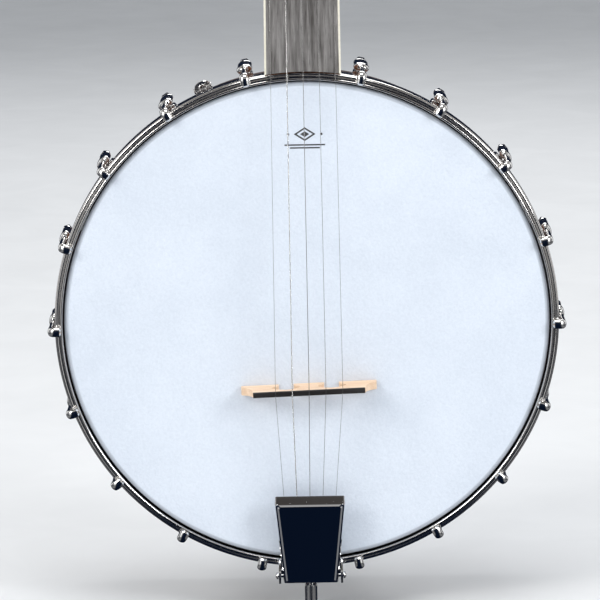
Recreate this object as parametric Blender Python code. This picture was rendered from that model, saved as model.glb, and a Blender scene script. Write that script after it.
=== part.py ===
"""An open-back five-string banjo, each physical piece its own object.

Metres, +Z up the neck, the head facing -Y, +X on the first string's side. The origin is the middle of the rim's
flat back face at the tail end. Three nested frames carry the pieces:
  pot_frame        x across, y towards the neck, z out of the head; its origin is the centre of the rim's back face
  neck_frame       x across, y along the fretboard from its pot end, z out of the fretboard's surface
  headstock_frame  x across, y along the headstock from the nut, z out of the headstock's face
"""

import math

import bmesh
import bpy
from mathutils import Matrix, Vector

# Driving dimensions
GAP = 0.0003
SCALE_LENGTH = 0.667
RIM_RADIUS = 0.1397
RIM_WALL = 0.0130
RIM_HEIGHT = 0.0620
HEAD_TOP = 0.0692
HOOP_INNER = 0.1415
HOOP_OUTER = 0.1463
HOOP_BOTTOM = 0.0563
HOOP_TOP = 0.0735
HOOK_SHELF = 0.0695
RING_STEPS = 60

HOOK_ROD = 0.0020
HOOK_RADIUS = 0.1487
HOOKS_PER_SIDE = 9
FIRST_HOOK = math.radians(13.2)
HOOK_SPACING = math.radians(19.45)
SHOE_RADIUS = 0.0045
SHOE_DEPTH = 0.0032
SHOE_BOTTOM = 0.0185
SHOE_TOP = 0.0435

BRIDGE_Y = -0.0380
BRIDGE_SLANT = math.radians(1.85)
BRIDGE_HEIGHT = 0.0160
BRIDGE_CAP = 0.0021
BRIDGE_HALF = 0.03925
BRIDGE_CAP_HALF = 0.0323

NECK_TILT = math.radians(1.5)
BOARD_START = 0.1468
BOARD_SURFACE = 0.0745
BOARD_THICK = 0.0055
FIFTH_FRET = 5
NUT_LENGTH = 0.0050
NUT_CENTRE = 0.0024
NUT_HALF = 0.0159
NUT_TOP = 0.0006
HEADSTOCK_TILT = math.radians(14)
HEADSTOCK_THICK = 0.0140
TUNER_SPREAD = 0.0190
TUNER_ROWS = (0.046, 0.108)
POST_RADIUS = 0.0030

TAIL_HINGE_Y = -0.1477
TAIL_HINGE_Z = 0.0805
TAIL_COVER_TOP = 0.0835
TAIL_BASE_BOTTOM = HOOP_TOP + GAP
TAIL_BASE_TOP = TAIL_BASE_BOTTOM + 0.0012
ROD_HEIGHT = 0.0300

# Diameters of the strings, first to fifth, and where each one lies at the bridge, the tailpiece and the nut
STRING_DIAMETERS = (0.000254, 0.000305, 0.000406, 0.000584, 0.000254)
STRINGS_AT_BRIDGE = (0.0200, 0.0103, 0.0006, -0.0091, -0.0188)
STRINGS_AT_TAIL = (0.0137, 0.00685, 0.0, -0.00685, -0.0137)
STRINGS_AT_NUT = (0.01425, 0.00635, -0.00155, -0.00945)

POT_CENTRE = RIM_RADIUS - RIM_WALL / 2
BOARD_LENGTH = (SCALE_LENGTH + BRIDGE_Y - BOARD_START) / math.cos(NECK_TILT)
NUT_Y = BOARD_LENGTH + GAP
FIFTH_FRET_Y = BOARD_LENGTH - SCALE_LENGTH * (1 - 2 ** (-FIFTH_FRET / 12))
TUNER_PLACES = [(side * TUNER_SPREAD, row) for row in TUNER_ROWS for side in (1, -1)]

# The fifth string's peg, on the neck's side, and the pip it bends over
PEG_Y = FIFTH_FRET_Y + 0.0225
PEG_Z = -0.0100
PIP_X = -0.0178
PIP_Y = FIFTH_FRET_Y + 0.0030
PIP_TOP = 0.0016
PIP_RADIUS = 0.0015

# Where the fretboard starts and ends its step to the narrower upper part
STEP_START = FIFTH_FRET_Y + 0.0055
STEP_END = FIFTH_FRET_Y + 0.0125

for old in list(bpy.data.objects):
    bpy.data.objects.remove(old, do_unlink=True)


# Materials
def material(name, colour, roughness, metallic=0.0):
    made = bpy.data.materials.new(name)
    made.use_nodes = True
    shader = made.node_tree.nodes["Principled BSDF"]
    shader.inputs["Base Color"].default_value = (*colour, 1.0)
    shader.inputs["Roughness"].default_value = roughness
    shader.inputs["Metallic"].default_value = metallic
    return made


CHROME = material("chrome", (0.82, 0.83, 0.85), 0.08, 1.0)
HOOP_NICKEL = material("hoop_nickel", (0.78, 0.76, 0.73), 0.10, 1.0)
RIM_MAPLE = material("rim_maple", (0.30, 0.13, 0.06), 0.35)
NECK_MAHOGANY = material("neck_mahogany", (0.24, 0.09, 0.04), 0.32)
FRETBOARD_WOOD = material("fretboard_wood", (0.11, 0.09, 0.085), 0.55)
COATED_HEAD = material("coated_head", (0.80, 0.84, 0.90), 0.55)
BRASS = material("ring_brass", (0.78, 0.58, 0.28), 0.25, 1.0)
BONE = material("bone", (0.88, 0.85, 0.76), 0.4)
BRIDGE_MAPLE = material("bridge_maple", (0.83, 0.64, 0.46), 0.5)
EBONY = material("ebony", (0.03, 0.028, 0.027), 0.4)
STRING_STEEL = material("string_steel", (0.75, 0.74, 0.72), 0.25, 1.0)
PEARLOID = material("pearloid", (0.85, 0.83, 0.78), 0.3)
BLACK_PLASTIC = material("black_plastic", (0.02, 0.02, 0.022), 0.3)
ROD_STEEL = material("rod_steel", (0.62, 0.60, 0.56), 0.3, 1.0)


# Modelling helpers
def add(name, bm, finish, parent=None, location=(0, 0, 0), rotation=(0, 0, 0), sharp_deg=35):
    """Make a named object of a closed bmesh, its faces turned out."""
    bmesh.ops.recalc_face_normals(bm, faces=bm.faces)
    mesh = bpy.data.meshes.new(name)
    bm.to_mesh(mesh)
    bm.free()
    return add_mesh(name, mesh, finish, parent, location, rotation, sharp_deg)


def add_mesh(name, mesh, finish, parent=None, location=(0, 0, 0), rotation=(0, 0, 0), sharp_deg=35):
    if finish and not mesh.materials:
        mesh.materials.append(finish)
    mesh.shade_smooth()
    mesh.set_sharp_from_angle(angle=math.radians(sharp_deg))
    obj = bpy.data.objects.new(name, mesh)
    bpy.context.scene.collection.objects.link(obj)
    obj.parent = parent
    obj.location = location
    obj.rotation_euler = rotation
    return obj


def frame(name, location, rotation, parent=None):
    empty = bpy.data.objects.new(name, None)
    bpy.context.scene.collection.objects.link(empty)
    empty.parent = parent
    empty.location = location
    empty.rotation_euler = rotation
    return empty


def lathe(profile, steps):
    """Turn a closed profile of (radius, height) points about +Z; a radius of 0 is a pole."""
    bm = bmesh.new()
    rings = []
    for radius, height in profile:
        if radius == 0:
            rings.append([bm.verts.new((0, 0, height))] * steps)
            continue
        turn = [2 * math.pi * k / steps for k in range(steps)]
        rings.append([bm.verts.new((radius * math.cos(a), radius * math.sin(a), height)) for a in turn])
    for low, high in zip(rings, rings[1:] + rings[:1]):
        for k in range(steps):
            n = (k + 1) % steps
            corners = list(dict.fromkeys((low[k], low[n], high[n], high[k])))
            if len(corners) > 2:
                bm.faces.new(corners)
    return bm


def skin(sections):
    """Join a row of outlines with the same number of points into one closed solid."""
    bm = bmesh.new()
    rings = [[bm.verts.new(point) for point in section] for section in sections]
    for low, high in zip(rings, rings[1:]):
        for k in range(len(low)):
            n = (k + 1) % len(low)
            bm.faces.new((low[k], low[n], high[n], high[k]))
    bm.faces.new(rings[0][::-1])
    bm.faces.new(rings[-1])
    return bm


def prism(outline, low, high):
    """Extrude a flat (x, y) outline from z = low to z = high."""
    return skin([[(x, y, z) for x, y in outline] for z in (low, high)])


def block(low, high):
    outline = ((low[0], low[1]), (high[0], low[1]), (high[0], high[1]), (low[0], high[1]))
    return prism(outline, low[2], high[2])


def side_prism(outline, half_width):
    """Extrude a (y, z) outline along X, half_width each way."""
    return skin([[(x, y, z) for y, z in outline] for x in (-half_width, half_width)])


def rod(path, radius, sides):
    """A round rod along (y, z) points that lie in the plane x = 0."""
    sections = []
    for k, (y, z) in enumerate(path):
        before, after = path[max(k - 1, 0)], path[min(k + 1, len(path) - 1)]
        along = Vector((0, after[0] - before[0], after[1] - before[1])).normalized()
        across = along.cross(Vector((1, 0, 0)))
        turn = [2 * math.pi * (i + 0.5) / sides for i in range(sides)]
        centre = Vector((0, y, z))
        sections.append([
            centre + radius * (math.cos(a) * Vector((1, 0, 0)) + math.sin(a) * across) for a in turn
        ])
    return skin(sections)


def boolean(obj, other, operation):
    modifier = obj.modifiers.new(operation.lower() + "_" + other.name, "BOOLEAN")
    modifier.operation = operation
    modifier.solver = "EXACT"
    modifier.object = other


def cutter(name, bm, parent, location=(0, 0, 0), rotation=(0, 0, 0)):
    tool = add(name, bm, None, parent, location, rotation)
    tool.hide_render = True
    tool.display_type = "WIRE"
    return tool


def cylinder(radius, low, high, steps=12):
    return lathe(((0, low), (radius, low), (radius, high), (0, high)), steps)


def joined_mesh(name, solids, finish):
    """Union a list of bmesh solids and give back one plain mesh."""
    objects = [add(f"{name}_{k}", bm, finish) for k, bm in enumerate(solids)]
    for other in objects[1:]:
        boolean(objects[0], other, "UNION")
    graph = bpy.context.evaluated_depsgraph_get()
    mesh = bpy.data.meshes.new_from_object(objects[0].evaluated_get(graph))
    for obj in objects:
        bpy.data.objects.remove(obj, do_unlink=True)
    mesh.name = name
    return mesh


# The three frames
QUARTER = math.pi / 2
pot_frame = frame("pot_frame", (0, 0, POT_CENTRE), (QUARTER, 0, 0))
neck_frame = frame(
    "neck_frame", (0, -BOARD_SURFACE, POT_CENTRE + BOARD_START), (QUARTER - NECK_TILT, 0, 0)
)
NECK_FACE = -BOARD_THICK - GAP
HEADSTOCK_Y = NUT_Y + NUT_LENGTH + GAP
headstock_frame = frame(
    "headstock_frame", (NUT_CENTRE, HEADSTOCK_Y, NECK_FACE), (-HEADSTOCK_TILT, 0, 0), neck_frame
)
bpy.context.view_layer.update()
POT = pot_frame.matrix_world.copy()
NECK = neck_frame.matrix_world.copy()
HEADSTOCK = headstock_frame.matrix_world.copy()


# Pot
def turned_ring(name, profile, finish):
    return add(name, lathe(profile, RING_STEPS), finish, pot_frame)


def make_pot():
    inner = RIM_RADIUS - RIM_WALL
    rim = turned_ring("rim", (
        (inner, 0), (RIM_RADIUS, 0), (RIM_RADIUS, RIM_HEIGHT), (inner, RIM_HEIGHT),
    ), RIM_MAPLE)
    for name, turn, bore in (("neck_bolt_hole", 0, 0.0034), ("end_bolt_hole", math.pi, 0.0029)):
        hole = cutter(name, cylinder(bore, 0.110, 0.150), pot_frame, (0, 0, ROD_HEIGHT), (-QUARTER, 0, turn))
        boolean(rim, hole, "DIFFERENCE")
    ring_bottom = RIM_HEIGHT + GAP
    turned_ring("tone_ring", (
        (0.1310, ring_bottom), (0.1396, ring_bottom), (0.1396, 0.0668), (0.1388, 0.0680),
        (0.1375, 0.0684), (0.1362, 0.0676), (0.1310, 0.0640),
    ), BRASS)
    skirt_end = HOOP_BOTTOM
    turned_ring("head", (
        (0, HEAD_TOP), (0.1388, HEAD_TOP), (0.1401, 0.0687), (0.1405, 0.0676), (0.1405, skirt_end),
        (0.1400, skirt_end), (0.1400, 0.0674), (0.1386, 0.0687), (0, 0.0687),
    ), COATED_HEAD)
    flesh_top = HOOP_BOTTOM - GAP
    turned_ring("flesh_hoop", (
        (0.1400, 0.0515), (0.1436, 0.0515), (0.1436, flesh_top), (0.1400, flesh_top),
    ), ROD_STEEL)
    bead = 0.0014
    turned_ring("tension_hoop", (
        (HOOP_INNER, HOOP_BOTTOM), (HOOP_OUTER, HOOP_BOTTOM), (HOOP_OUTER, HOOK_SHELF - 0.0008),
        (HOOP_OUTER - 0.0008, HOOK_SHELF), (HOOP_INNER + bead, HOOK_SHELF),
        (HOOP_INNER + bead, HOOP_TOP - 0.0004), (HOOP_INNER + 0.0010, HOOP_TOP),
        (HOOP_INNER + 0.0004, HOOP_TOP), (HOOP_INNER, HOOP_TOP - 0.0004),
    ), HOOP_NICKEL)


def make_brackets():
    """Round hook, shoe and nut of each bracket, joined, standing at 12 o'clock and turned into place."""
    hook = rod((
        (HOOK_RADIUS, 0.0085), (HOOK_RADIUS, 0.0690), (HOOK_RADIUS - 0.0004, 0.0703),
        (HOOK_RADIUS - 0.0012, 0.0713), (HOOK_RADIUS - 0.0024, 0.0718), (HOOK_RADIUS - 0.0040, 0.0718),
        (HOOK_RADIUS - 0.0054, 0.0718),
    ), HOOK_ROD, 8)
    dome = 0.0020
    barrel = lathe((
        (0, SHOE_BOTTOM), (SHOE_RADIUS, SHOE_BOTTOM), (SHOE_RADIUS, SHOE_TOP - dome),
        (SHOE_RADIUS * 0.75, SHOE_TOP - dome * 0.35), (0, SHOE_TOP),
    ), 10)
    bmesh.ops.scale(barrel, verts=barrel.verts, vec=(1, SHOE_DEPTH / SHOE_RADIUS, 1))
    bmesh.ops.translate(barrel, verts=barrel.verts, vec=(0, HOOK_RADIUS, 0))
    foot = block((-0.0032, RIM_RADIUS + GAP, 0.0235), (0.0032, HOOK_RADIUS - 0.0020, 0.0385))
    nut = lathe(((0, 0.0110), (0.0032, 0.0110), (0.0034, SHOE_BOTTOM + 0.0008), (0, SHOE_BOTTOM + 0.0008)), 6)
    bmesh.ops.translate(nut, verts=nut.verts, vec=(0, HOOK_RADIUS, 0))
    mesh = joined_mesh("bracket", (barrel, foot, nut, hook), CHROME)
    right = [FIRST_HOOK + k * HOOK_SPACING for k in range(HOOKS_PER_SIDE)]
    clockwise = right + [2 * math.pi - angle for angle in reversed(right)]
    for number, angle in enumerate(clockwise, 1):
        add_mesh(f"bracket_{number:02d}", mesh, CHROME, pot_frame, rotation=(0, 0, -angle))


def make_strap_bracket():
    """A folded plate on the rim's side, its ear standing out between the first two hooks left of the neck."""
    plate, reach = 0.0015, 0.0095
    foot_low, foot_high = 0.0210, 0.0390
    inside = RIM_RADIUS + GAP
    outline = (
        (inside, foot_low), (inside + plate, foot_low), (inside + plate, foot_high - plate),
        (inside + reach, foot_high - plate), (inside + reach, foot_high), (inside, foot_high),
    )
    add("strap_bracket", side_prism(outline, 0.0055), CHROME, pot_frame, rotation=(0, 0, math.radians(23.5)))


# Tailpiece
def tail_half_width(y):
    """Half the cover's width, which tapers from the nose to the tail end."""
    front, rear = (-0.1050, 0.0206), (-0.1518, 0.0157)
    return front[1] + (rear[1] - front[1]) * (y - front[0]) / (rear[0] - front[0])


def cover_slab(y_front, y_rear, low, high, inset, nose=0.0):
    """A tapered slab of the cover, relative to its hinge; nose slants the front face forward below."""
    sections = []
    for z, shift in ((low, nose), (high, 0.0)):
        corners = ((y_front + shift, 1), (y_front + shift, -1), (y_rear, -1), (y_rear, 1))
        sections.append([
            (side * (tail_half_width(y) - inset), y - TAIL_HINGE_Y, z - TAIL_HINGE_Z) for y, side in corners
        ])
    return skin(sections)


def make_tailpiece():
    wall, nose = 0.0010, 0.0045
    y_front, y_rear, low = -0.1050, -0.1518, 0.0785
    cover = add(
        "tailpiece_cover", cover_slab(y_front, y_rear, low, TAIL_COVER_TOP, 0, nose), CHROME, pot_frame,
        (0, TAIL_HINGE_Y, TAIL_HINGE_Z),
    )
    hollow = cutter(
        "cover_hollow", cover_slab(y_front - wall, y_rear - 0.01, low - 0.002, TAIL_COVER_TOP - wall, wall, 0.003),
        cover,
    )
    boolean(cover, hollow, "DIFFERENCE")
    under_nose = cutter("nose_clearance", block((-0.0195, 0.036, -0.004), (0.0195, 0.060, -0.0010)), cover)
    boolean(cover, under_nose, "DIFFERENCE")
    pin_hole = cutter("pin_hole", cylinder(0.0014, -0.030, 0.030), cover, rotation=(0, QUARTER, 0))
    boolean(cover, pin_hole, "DIFFERENCE")

    ear_in, ear_out = 0.0174, 0.0187
    wall_out, wall_in = -0.1486, -0.1470
    plate = block((-0.0150, wall_out, TAIL_BASE_BOTTOM), (0.0150, -0.1125, TAIL_BASE_TOP))
    wings = block((-ear_out, wall_out, TAIL_BASE_BOTTOM), (ear_out, -0.1390, TAIL_BASE_TOP))
    rear = block((-0.0090, wall_out, 0.0560), (0.0090, wall_in, TAIL_BASE_TOP - 0.0002))
    ears = []
    for side in (-1, 1):
        xs = sorted((side * ear_in, side * ear_out))
        outline = ((-0.1525, 0.0770), (-0.1525, 0.0815), (-0.1500, 0.0830), (-0.1455, 0.0830),
                   (-0.1390, 0.0770), (-0.1390, TAIL_BASE_BOTTOM), (-0.1485, TAIL_BASE_BOTTOM))
        ears.append(skin([[(x, y, z) for y, z in outline] for x in xs]))
    posts = []
    for x in STRINGS_AT_TAIL:
        post = cylinder(0.0009, TAIL_BASE_TOP - 0.0005, TAIL_BASE_TOP + 0.0022, 8)
        bmesh.ops.translate(post, verts=post.verts, vec=(x, -0.1245, 0))
        posts.append(post)
    mesh = joined_mesh("tailpiece_base", [plate, wings, rear, *ears, *posts], CHROME)
    base = add_mesh("tailpiece_base", mesh, CHROME, pot_frame)
    ear_hole = cutter(
        "ear_hole", cylinder(0.0014, -0.030, 0.030), pot_frame, (0, TAIL_HINGE_Y, TAIL_HINGE_Z), (0, QUARTER, 0)
    )
    boolean(base, ear_hole, "DIFFERENCE")
    screw_height = 0.0620
    tap = cutter(
        "tension_screw_hole", cylinder(0.0021, 0.140, 0.160), pot_frame, (0, 0, screw_height),
        (-QUARTER, 0, math.pi),
    )
    boolean(base, tap, "DIFFERENCE")

    shank, head, half, tip = 0.0010, 0.0020, ear_out + GAP, ear_out + 0.0019
    pin = lathe((
        (0, -tip), (head * 0.7, -tip + 0.0005), (head, -half), (shank, -half), (shank, half), (head, half),
        (head * 0.7, tip - 0.0005), (0, tip),
    ), 12)
    add("tailpiece_hinge_pin", pin, CHROME, pot_frame, (0, TAIL_HINGE_Y, TAIL_HINGE_Z), (0, QUARTER, 0))

    hanger_in, hanger_out = 0.1489, 0.1505
    hanger = add(
        "tailpiece_bracket", block((-0.0070, -hanger_out, 0.0220), (0.0070, -hanger_in, 0.0690)), CHROME, pot_frame
    )
    boolean(hanger, tap, "DIFFERENCE")
    bolt_hole = cutter(
        "hanger_bolt_hole", cylinder(0.0029, 0.140, 0.160), pot_frame, (0, 0, ROD_HEIGHT), (-QUARTER, 0, math.pi)
    )
    boolean(hanger, bolt_hole, "DIFFERENCE")
    knob, thread = 0.0037, 0.0018
    screw = lathe((
        (0, 0.1467), (thread, 0.1467), (thread, 0.1575), (knob, 0.1580), (knob, 0.1695), (knob * 0.8, 0.1703),
        (0, 0.1703),
    ), 14)
    add("tailpiece_screw", screw, CHROME, pot_frame, (0, 0, screw_height), (-QUARTER, 0, math.pi))
    collar = 0.0052
    bolt = lathe((
        (0, 0.1225), (0.0048, 0.1225), (0.0048, 0.1262), (0.0025, 0.1262), (0.0025, 0.1400 + GAP),
        (collar, 0.1400 + GAP), (collar, hanger_in - GAP), (0.0025, hanger_in - GAP), (0.0025, hanger_out + GAP),
        (collar, hanger_out + GAP), (collar, 0.1555), (0.0035, 0.1570), (0, 0.1570),
    ), 12)
    add("end_bolt", bolt, CHROME, pot_frame, (0, 0, ROD_HEIGHT), (-QUARTER, 0, math.pi))


def make_coordinator_rod():
    nut, shaft = 0.0070, 0.0047
    end = RIM_RADIUS - RIM_WALL - 0.0006
    bar = lathe((
        (0, -0.1220), (shaft, -0.1220), (shaft, end - 0.0125), (nut, end - 0.0120), (nut, end - 0.0035),
        (shaft, end - 0.0030), (shaft, end), (0.0029, end), (0.0029, end - 0.0060), (0, end - 0.0060),
    ), 12)
    add("coordinator_rod", bar, ROD_STEEL, pot_frame, (0, 0, ROD_HEIGHT), (-QUARTER, 0, 0))
    add("neck_bolt", cylinder(0.0026, end - 0.0055, 0.1640), ROD_STEEL, pot_frame, (0, 0, ROD_HEIGHT),
        (-QUARTER, 0, 0))


# Neck
def board_left(y):
    """Where the fretboard's bass edge is: it steps in past the fifth-string nut."""
    pot_edge, before_step, after_step, nut_edge = -0.0220, -0.0196, -0.0150, NUT_CENTRE - NUT_HALF
    if y <= STEP_START:
        return pot_edge + (before_step - pot_edge) * y / STEP_START
    if y < STEP_END:
        ease = (1 - math.cos(math.pi * (y - STEP_START) / (STEP_END - STEP_START))) / 2
        return before_step + (after_step - before_step) * ease
    return after_step + (nut_edge - after_step) * (y - STEP_END) / (BOARD_LENGTH - STEP_END)


def board_right(y):
    pot_edge, nut_edge = 0.0216, NUT_CENTRE + NUT_HALF
    return pot_edge + (nut_edge - pot_edge) * y / BOARD_LENGTH


def neck_section(left, right, depth, power, points=9):
    """A flat top and a rounded back; a higher power makes the back squarer."""
    middle, half = (left + right) / 2, (right - left) / 2
    outline = [(left, 0), (right, 0)]
    for k in range(1, points + 1):
        angle = math.pi * k / (points + 1)
        across = math.copysign(abs(math.cos(angle)) ** (2 / power), math.cos(angle))
        outline.append((middle + half * across, -depth * math.sin(angle) ** (2 / power)))
    return outline


def make_neck():
    heel = ((-0.0080, 0.0590, 1.7), (0.0040, 0.0585, 1.7), (0.0120, 0.0520, 1.75), (0.0220, 0.0420, 1.8),
            (0.0330, 0.0325, 1.9), (0.0460, 0.0252, 2.0), (0.0620, 0.0208, 2.1), (0.0850, 0.0186, 2.2))
    shaft = ((0.200, 0.0175), (STEP_START, 0.0164), (STEP_START + 0.0025, 0.0164), (STEP_START + 0.0045, 0.0163),
             (STEP_END, 0.0162), (0.400, 0.0152), (BOARD_LENGTH - 0.030, 0.0145))
    stations = [*heel, *((y, depth, 2.2) for y, depth in shaft)]
    sections = []
    for y, depth, power in stations:
        outline = neck_section(board_left(max(y, 0)), board_right(max(y, 0)), depth, power)
        sections.append([(x, y, NECK_FACE + z) for x, z in outline])
    nut_end = neck_section(NUT_CENTRE - NUT_HALF, NUT_CENTRE + NUT_HALF, 0.0150, 2.4)
    sections.append([(x, HEADSTOCK_Y - 0.0010, NECK_FACE + z) for x, z in nut_end])
    local = Matrix.Translation((NUT_CENTRE, HEADSTOCK_Y, NECK_FACE)) @ Matrix.Rotation(-HEADSTOCK_TILT, 4, "X")
    outline = ((0.012, 0.0162, 3.5), (0.022, 0.0205, 7), (0.030, 0.0262, 9), (0.038, 0.0298, 9),
               (0.048, 0.0302, 9), (0.070, 0.0275, 9), (0.090, 0.0272, 9), (0.115, 0.0302, 9), (0.128, 0.0310, 9),
               (0.138, 0.0272, 9), (0.146, 0.0205, 9), (0.151, 0.0105, 9), (0.1525, 0.0040, 9))
    for along, half, power in outline:
        section = neck_section(-half, half, HEADSTOCK_THICK, power)
        sections.append([local @ Vector((x, along, z)) for x, z in section])
    neck = add("neck", skin(sections), NECK_MAHOGANY, neck_frame)
    boolean(neck, pot_cutter, "DIFFERENCE")
    bolt_hole = cutter(
        "heel_bolt_hole", cylinder(0.0031, 0.130, 0.1660), pot_frame, (0, 0, ROD_HEIGHT), (-QUARTER, 0, 0)
    )
    boolean(neck, bolt_hole, "DIFFERENCE")
    for number, (x, y) in enumerate(TUNER_PLACES, 1):
        hole = cutter(f"tuner_hole_{number}", cylinder(0.0047, -0.03, 0.01), headstock_frame, (x, y, 0))
        boolean(neck, hole, "DIFFERENCE")
    peg_hole = cutter(
        "peg_hole", cylinder(0.0034, 0.0040, 0.0300), neck_frame, (0, PEG_Y, PEG_Z), (0, -QUARTER, 0)
    )
    boolean(neck, peg_hole, "DIFFERENCE")


def make_fretboard():
    ys = [-0.008, 0.0, STEP_START, STEP_START + 0.0020, STEP_START + 0.0035, STEP_START + 0.0050, STEP_END,
          BOARD_LENGTH]
    left = [(board_left(max(y, 0)), y) for y in ys]
    right = [(board_right(max(y, 0)), y) for y in (ys[-1], 0.0, ys[0])]
    board = add("fretboard", prism(left + right, -BOARD_THICK, 0), FRETBOARD_WOOD, neck_frame)
    boolean(board, pot_cutter, "DIFFERENCE")
    nut = block((NUT_CENTRE - NUT_HALF, NUT_Y, -BOARD_THICK), (NUT_CENTRE + NUT_HALF, NUT_Y + NUT_LENGTH, NUT_TOP))
    add("nut", nut, BONE, neck_frame)
    pip = lathe((
        (0, GAP), (PIP_RADIUS, GAP), (PIP_RADIUS, PIP_TOP - 0.0004), (PIP_RADIUS * 0.75, PIP_TOP), (0, PIP_TOP),
    ), 12)
    add("fifth_string_nut", pip, BONE, neck_frame, (PIP_X, PIP_Y, 0))
    cover = ((-0.0095, 0.0080), (0.0095, 0.0080), (0.0105, 0.0130), (0.0085, 0.0210), (0.0045, 0.0290),
             (0, 0.0350), (-0.0045, 0.0290), (-0.0085, 0.0210), (-0.0105, 0.0130))
    add("truss_rod_cover", prism(cover, GAP, 0.0018), BLACK_PLASTIC, headstock_frame)


# Tuners
def make_tuners():
    back = -HEADSTOCK_THICK - GAP
    housing = (
        (0.0026, 0.0028), (0.0058, 0.0028), (0.0064, GAP), (0.0043, GAP), (0.0043, back), (0.0070, back),
        (0.0072, back - 0.0130), (0.0050, back - 0.0160), (0.0026, back - 0.0160),
    )
    post = (
        (0, back - 0.0060), (0.0022, back - 0.0060), (0.0022, 0.0031), (POST_RADIUS, 0.0031),
        (POST_RADIUS, 0.0068), (0.0024, 0.0090), (POST_RADIUS, 0.0130), (POST_RADIUS, 0.0165), (0.0018, 0.0180),
        (0, 0.0180),
    )
    start = back - 0.0095
    button = (
        (0, start), (0.0020, start), (0.0020, back - 0.0163), (0.0034, back - 0.0163), (0.0036, back - 0.0190),
        (0.0058, back - 0.0215), (0.0070, back - 0.0260), (0.0062, back - 0.0305), (0.0036, back - 0.0325),
        (0, back - 0.0325),
    )
    for number, (x, y) in enumerate(TUNER_PLACES, 1):
        name = f"tuner_{number}_"
        add(name + "housing", lathe(housing, 12), CHROME, headstock_frame, (x, y, 0))
        add(name + "post", lathe(post, 10), CHROME, headstock_frame, (x, y, 0))
        knob = lathe(button, 12)
        flatten = [v for v in knob.verts if v.co.z < back - 0.0195]
        bmesh.ops.scale(knob, vec=(1.0, 0.62, 1.0), verts=flatten)
        wide = [v for v in knob.verts if v.co.z < back - 0.0210]
        bmesh.ops.scale(knob, vec=(1.35, 1.0, 1.0), verts=wide)
        add(name + "button", knob, PEARLOID, headstock_frame, (x, y, 0))

    outward = (0, -QUARTER, 0)
    place = (0, PEG_Y, PEG_Z)
    fifth_housing = (
        (0, 0.0050), (0.0030, 0.0050), (0.0031, 0.0158), (0.0050, 0.0158), (0.0054, 0.0172), (0.0044, 0.0185),
        (0.0020, 0.0185), (0.0020, 0.0080), (0, 0.0080),
    )
    fifth_post = (
        (0, 0.0085), (0.0016, 0.0085), (0.0016, 0.0188), (0.0030, 0.0188), (0.0022, 0.0225), (0.0030, 0.0262),
        (0.0030, 0.0275), (0, 0.0275),
    )
    fifth_button = (
        (0, 0.0278), (0.0034, 0.0278), (0.0036, 0.0300), (0.0058, 0.0325), (0.0070, 0.0370), (0.0062, 0.0415),
        (0.0036, 0.0435), (0, 0.0435),
    )
    add("tuner_5_housing", lathe(fifth_housing, 12), CHROME, neck_frame, place, outward)
    add("tuner_5_post", lathe(fifth_post, 10), CHROME, neck_frame, place, outward)
    knob = lathe(fifth_button, 12)
    flatten = [v for v in knob.verts if v.co.z > 0.0302]
    bmesh.ops.scale(knob, vec=(1.35, 0.62, 1.0), verts=flatten)
    add("tuner_5_button", knob, PEARLOID, neck_frame, place, outward)


# Bridge and strings
def make_bridge():
    """Three feet joined by two arches, tapering upwards to the ebony cap."""
    top = BRIDGE_HEIGHT - BRIDGE_CAP - GAP
    half = (
        (0.0090, 0.0), (0.0086, 0.0040), (0.0052, 0.0058), (0.0046, 0.0078), (0.0070, 0.0098),
        (0.0131, 0.0122), (0.0192, 0.0098), (0.0218, 0.0078), (0.0211, 0.0058), (0.0177, 0.0040),
        (0.0173, 0.0), (BRIDGE_HALF, 0.0),
        (BRIDGE_HALF, 0.0024), (0.0358, 0.0050), (0.0334, 0.0090), (BRIDGE_CAP_HALF, top),
    )
    outline = [*half, *((-x, z) for x, z in reversed(half))]

    def thickness(z):
        at_feet, at_top = 0.0026, 0.0015
        return at_feet + (at_top - at_feet) * z / BRIDGE_HEIGHT

    place = (STRINGS_AT_BRIDGE[2], BRIDGE_Y, HEAD_TOP + GAP)
    turn = (0, 0, BRIDGE_SLANT)
    body = skin([[(x, side * thickness(z), z) for x, z in outline] for side in (-1, 1)])
    add("bridge", body, BRIDGE_MAPLE, pot_frame, place, turn)
    cap_thick = 0.0016
    cap = block((-BRIDGE_CAP_HALF, -cap_thick, top + GAP), (BRIDGE_CAP_HALF, cap_thick, BRIDGE_HEIGHT - GAP))
    add("bridge_cap", cap, EBONY, pot_frame, place, turn)


def string_object(number, points):
    curve = bpy.data.curves.new(f"string_{number}", "CURVE")
    curve.dimensions = "3D"
    curve.bevel_depth = STRING_DIAMETERS[number - 1] / 2
    curve.bevel_resolution = 1
    curve.use_fill_caps = True
    spline = curve.splines.new("POLY")
    spline.points.add(len(points) - 1)
    for slot, point in zip(spline.points, points):
        slot.co = (*point, 1.0)
    curve.materials.append(STRING_STEEL)
    obj = bpy.data.objects.new(f"string_{number}", curve)
    bpy.context.scene.collection.objects.link(obj)


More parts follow.
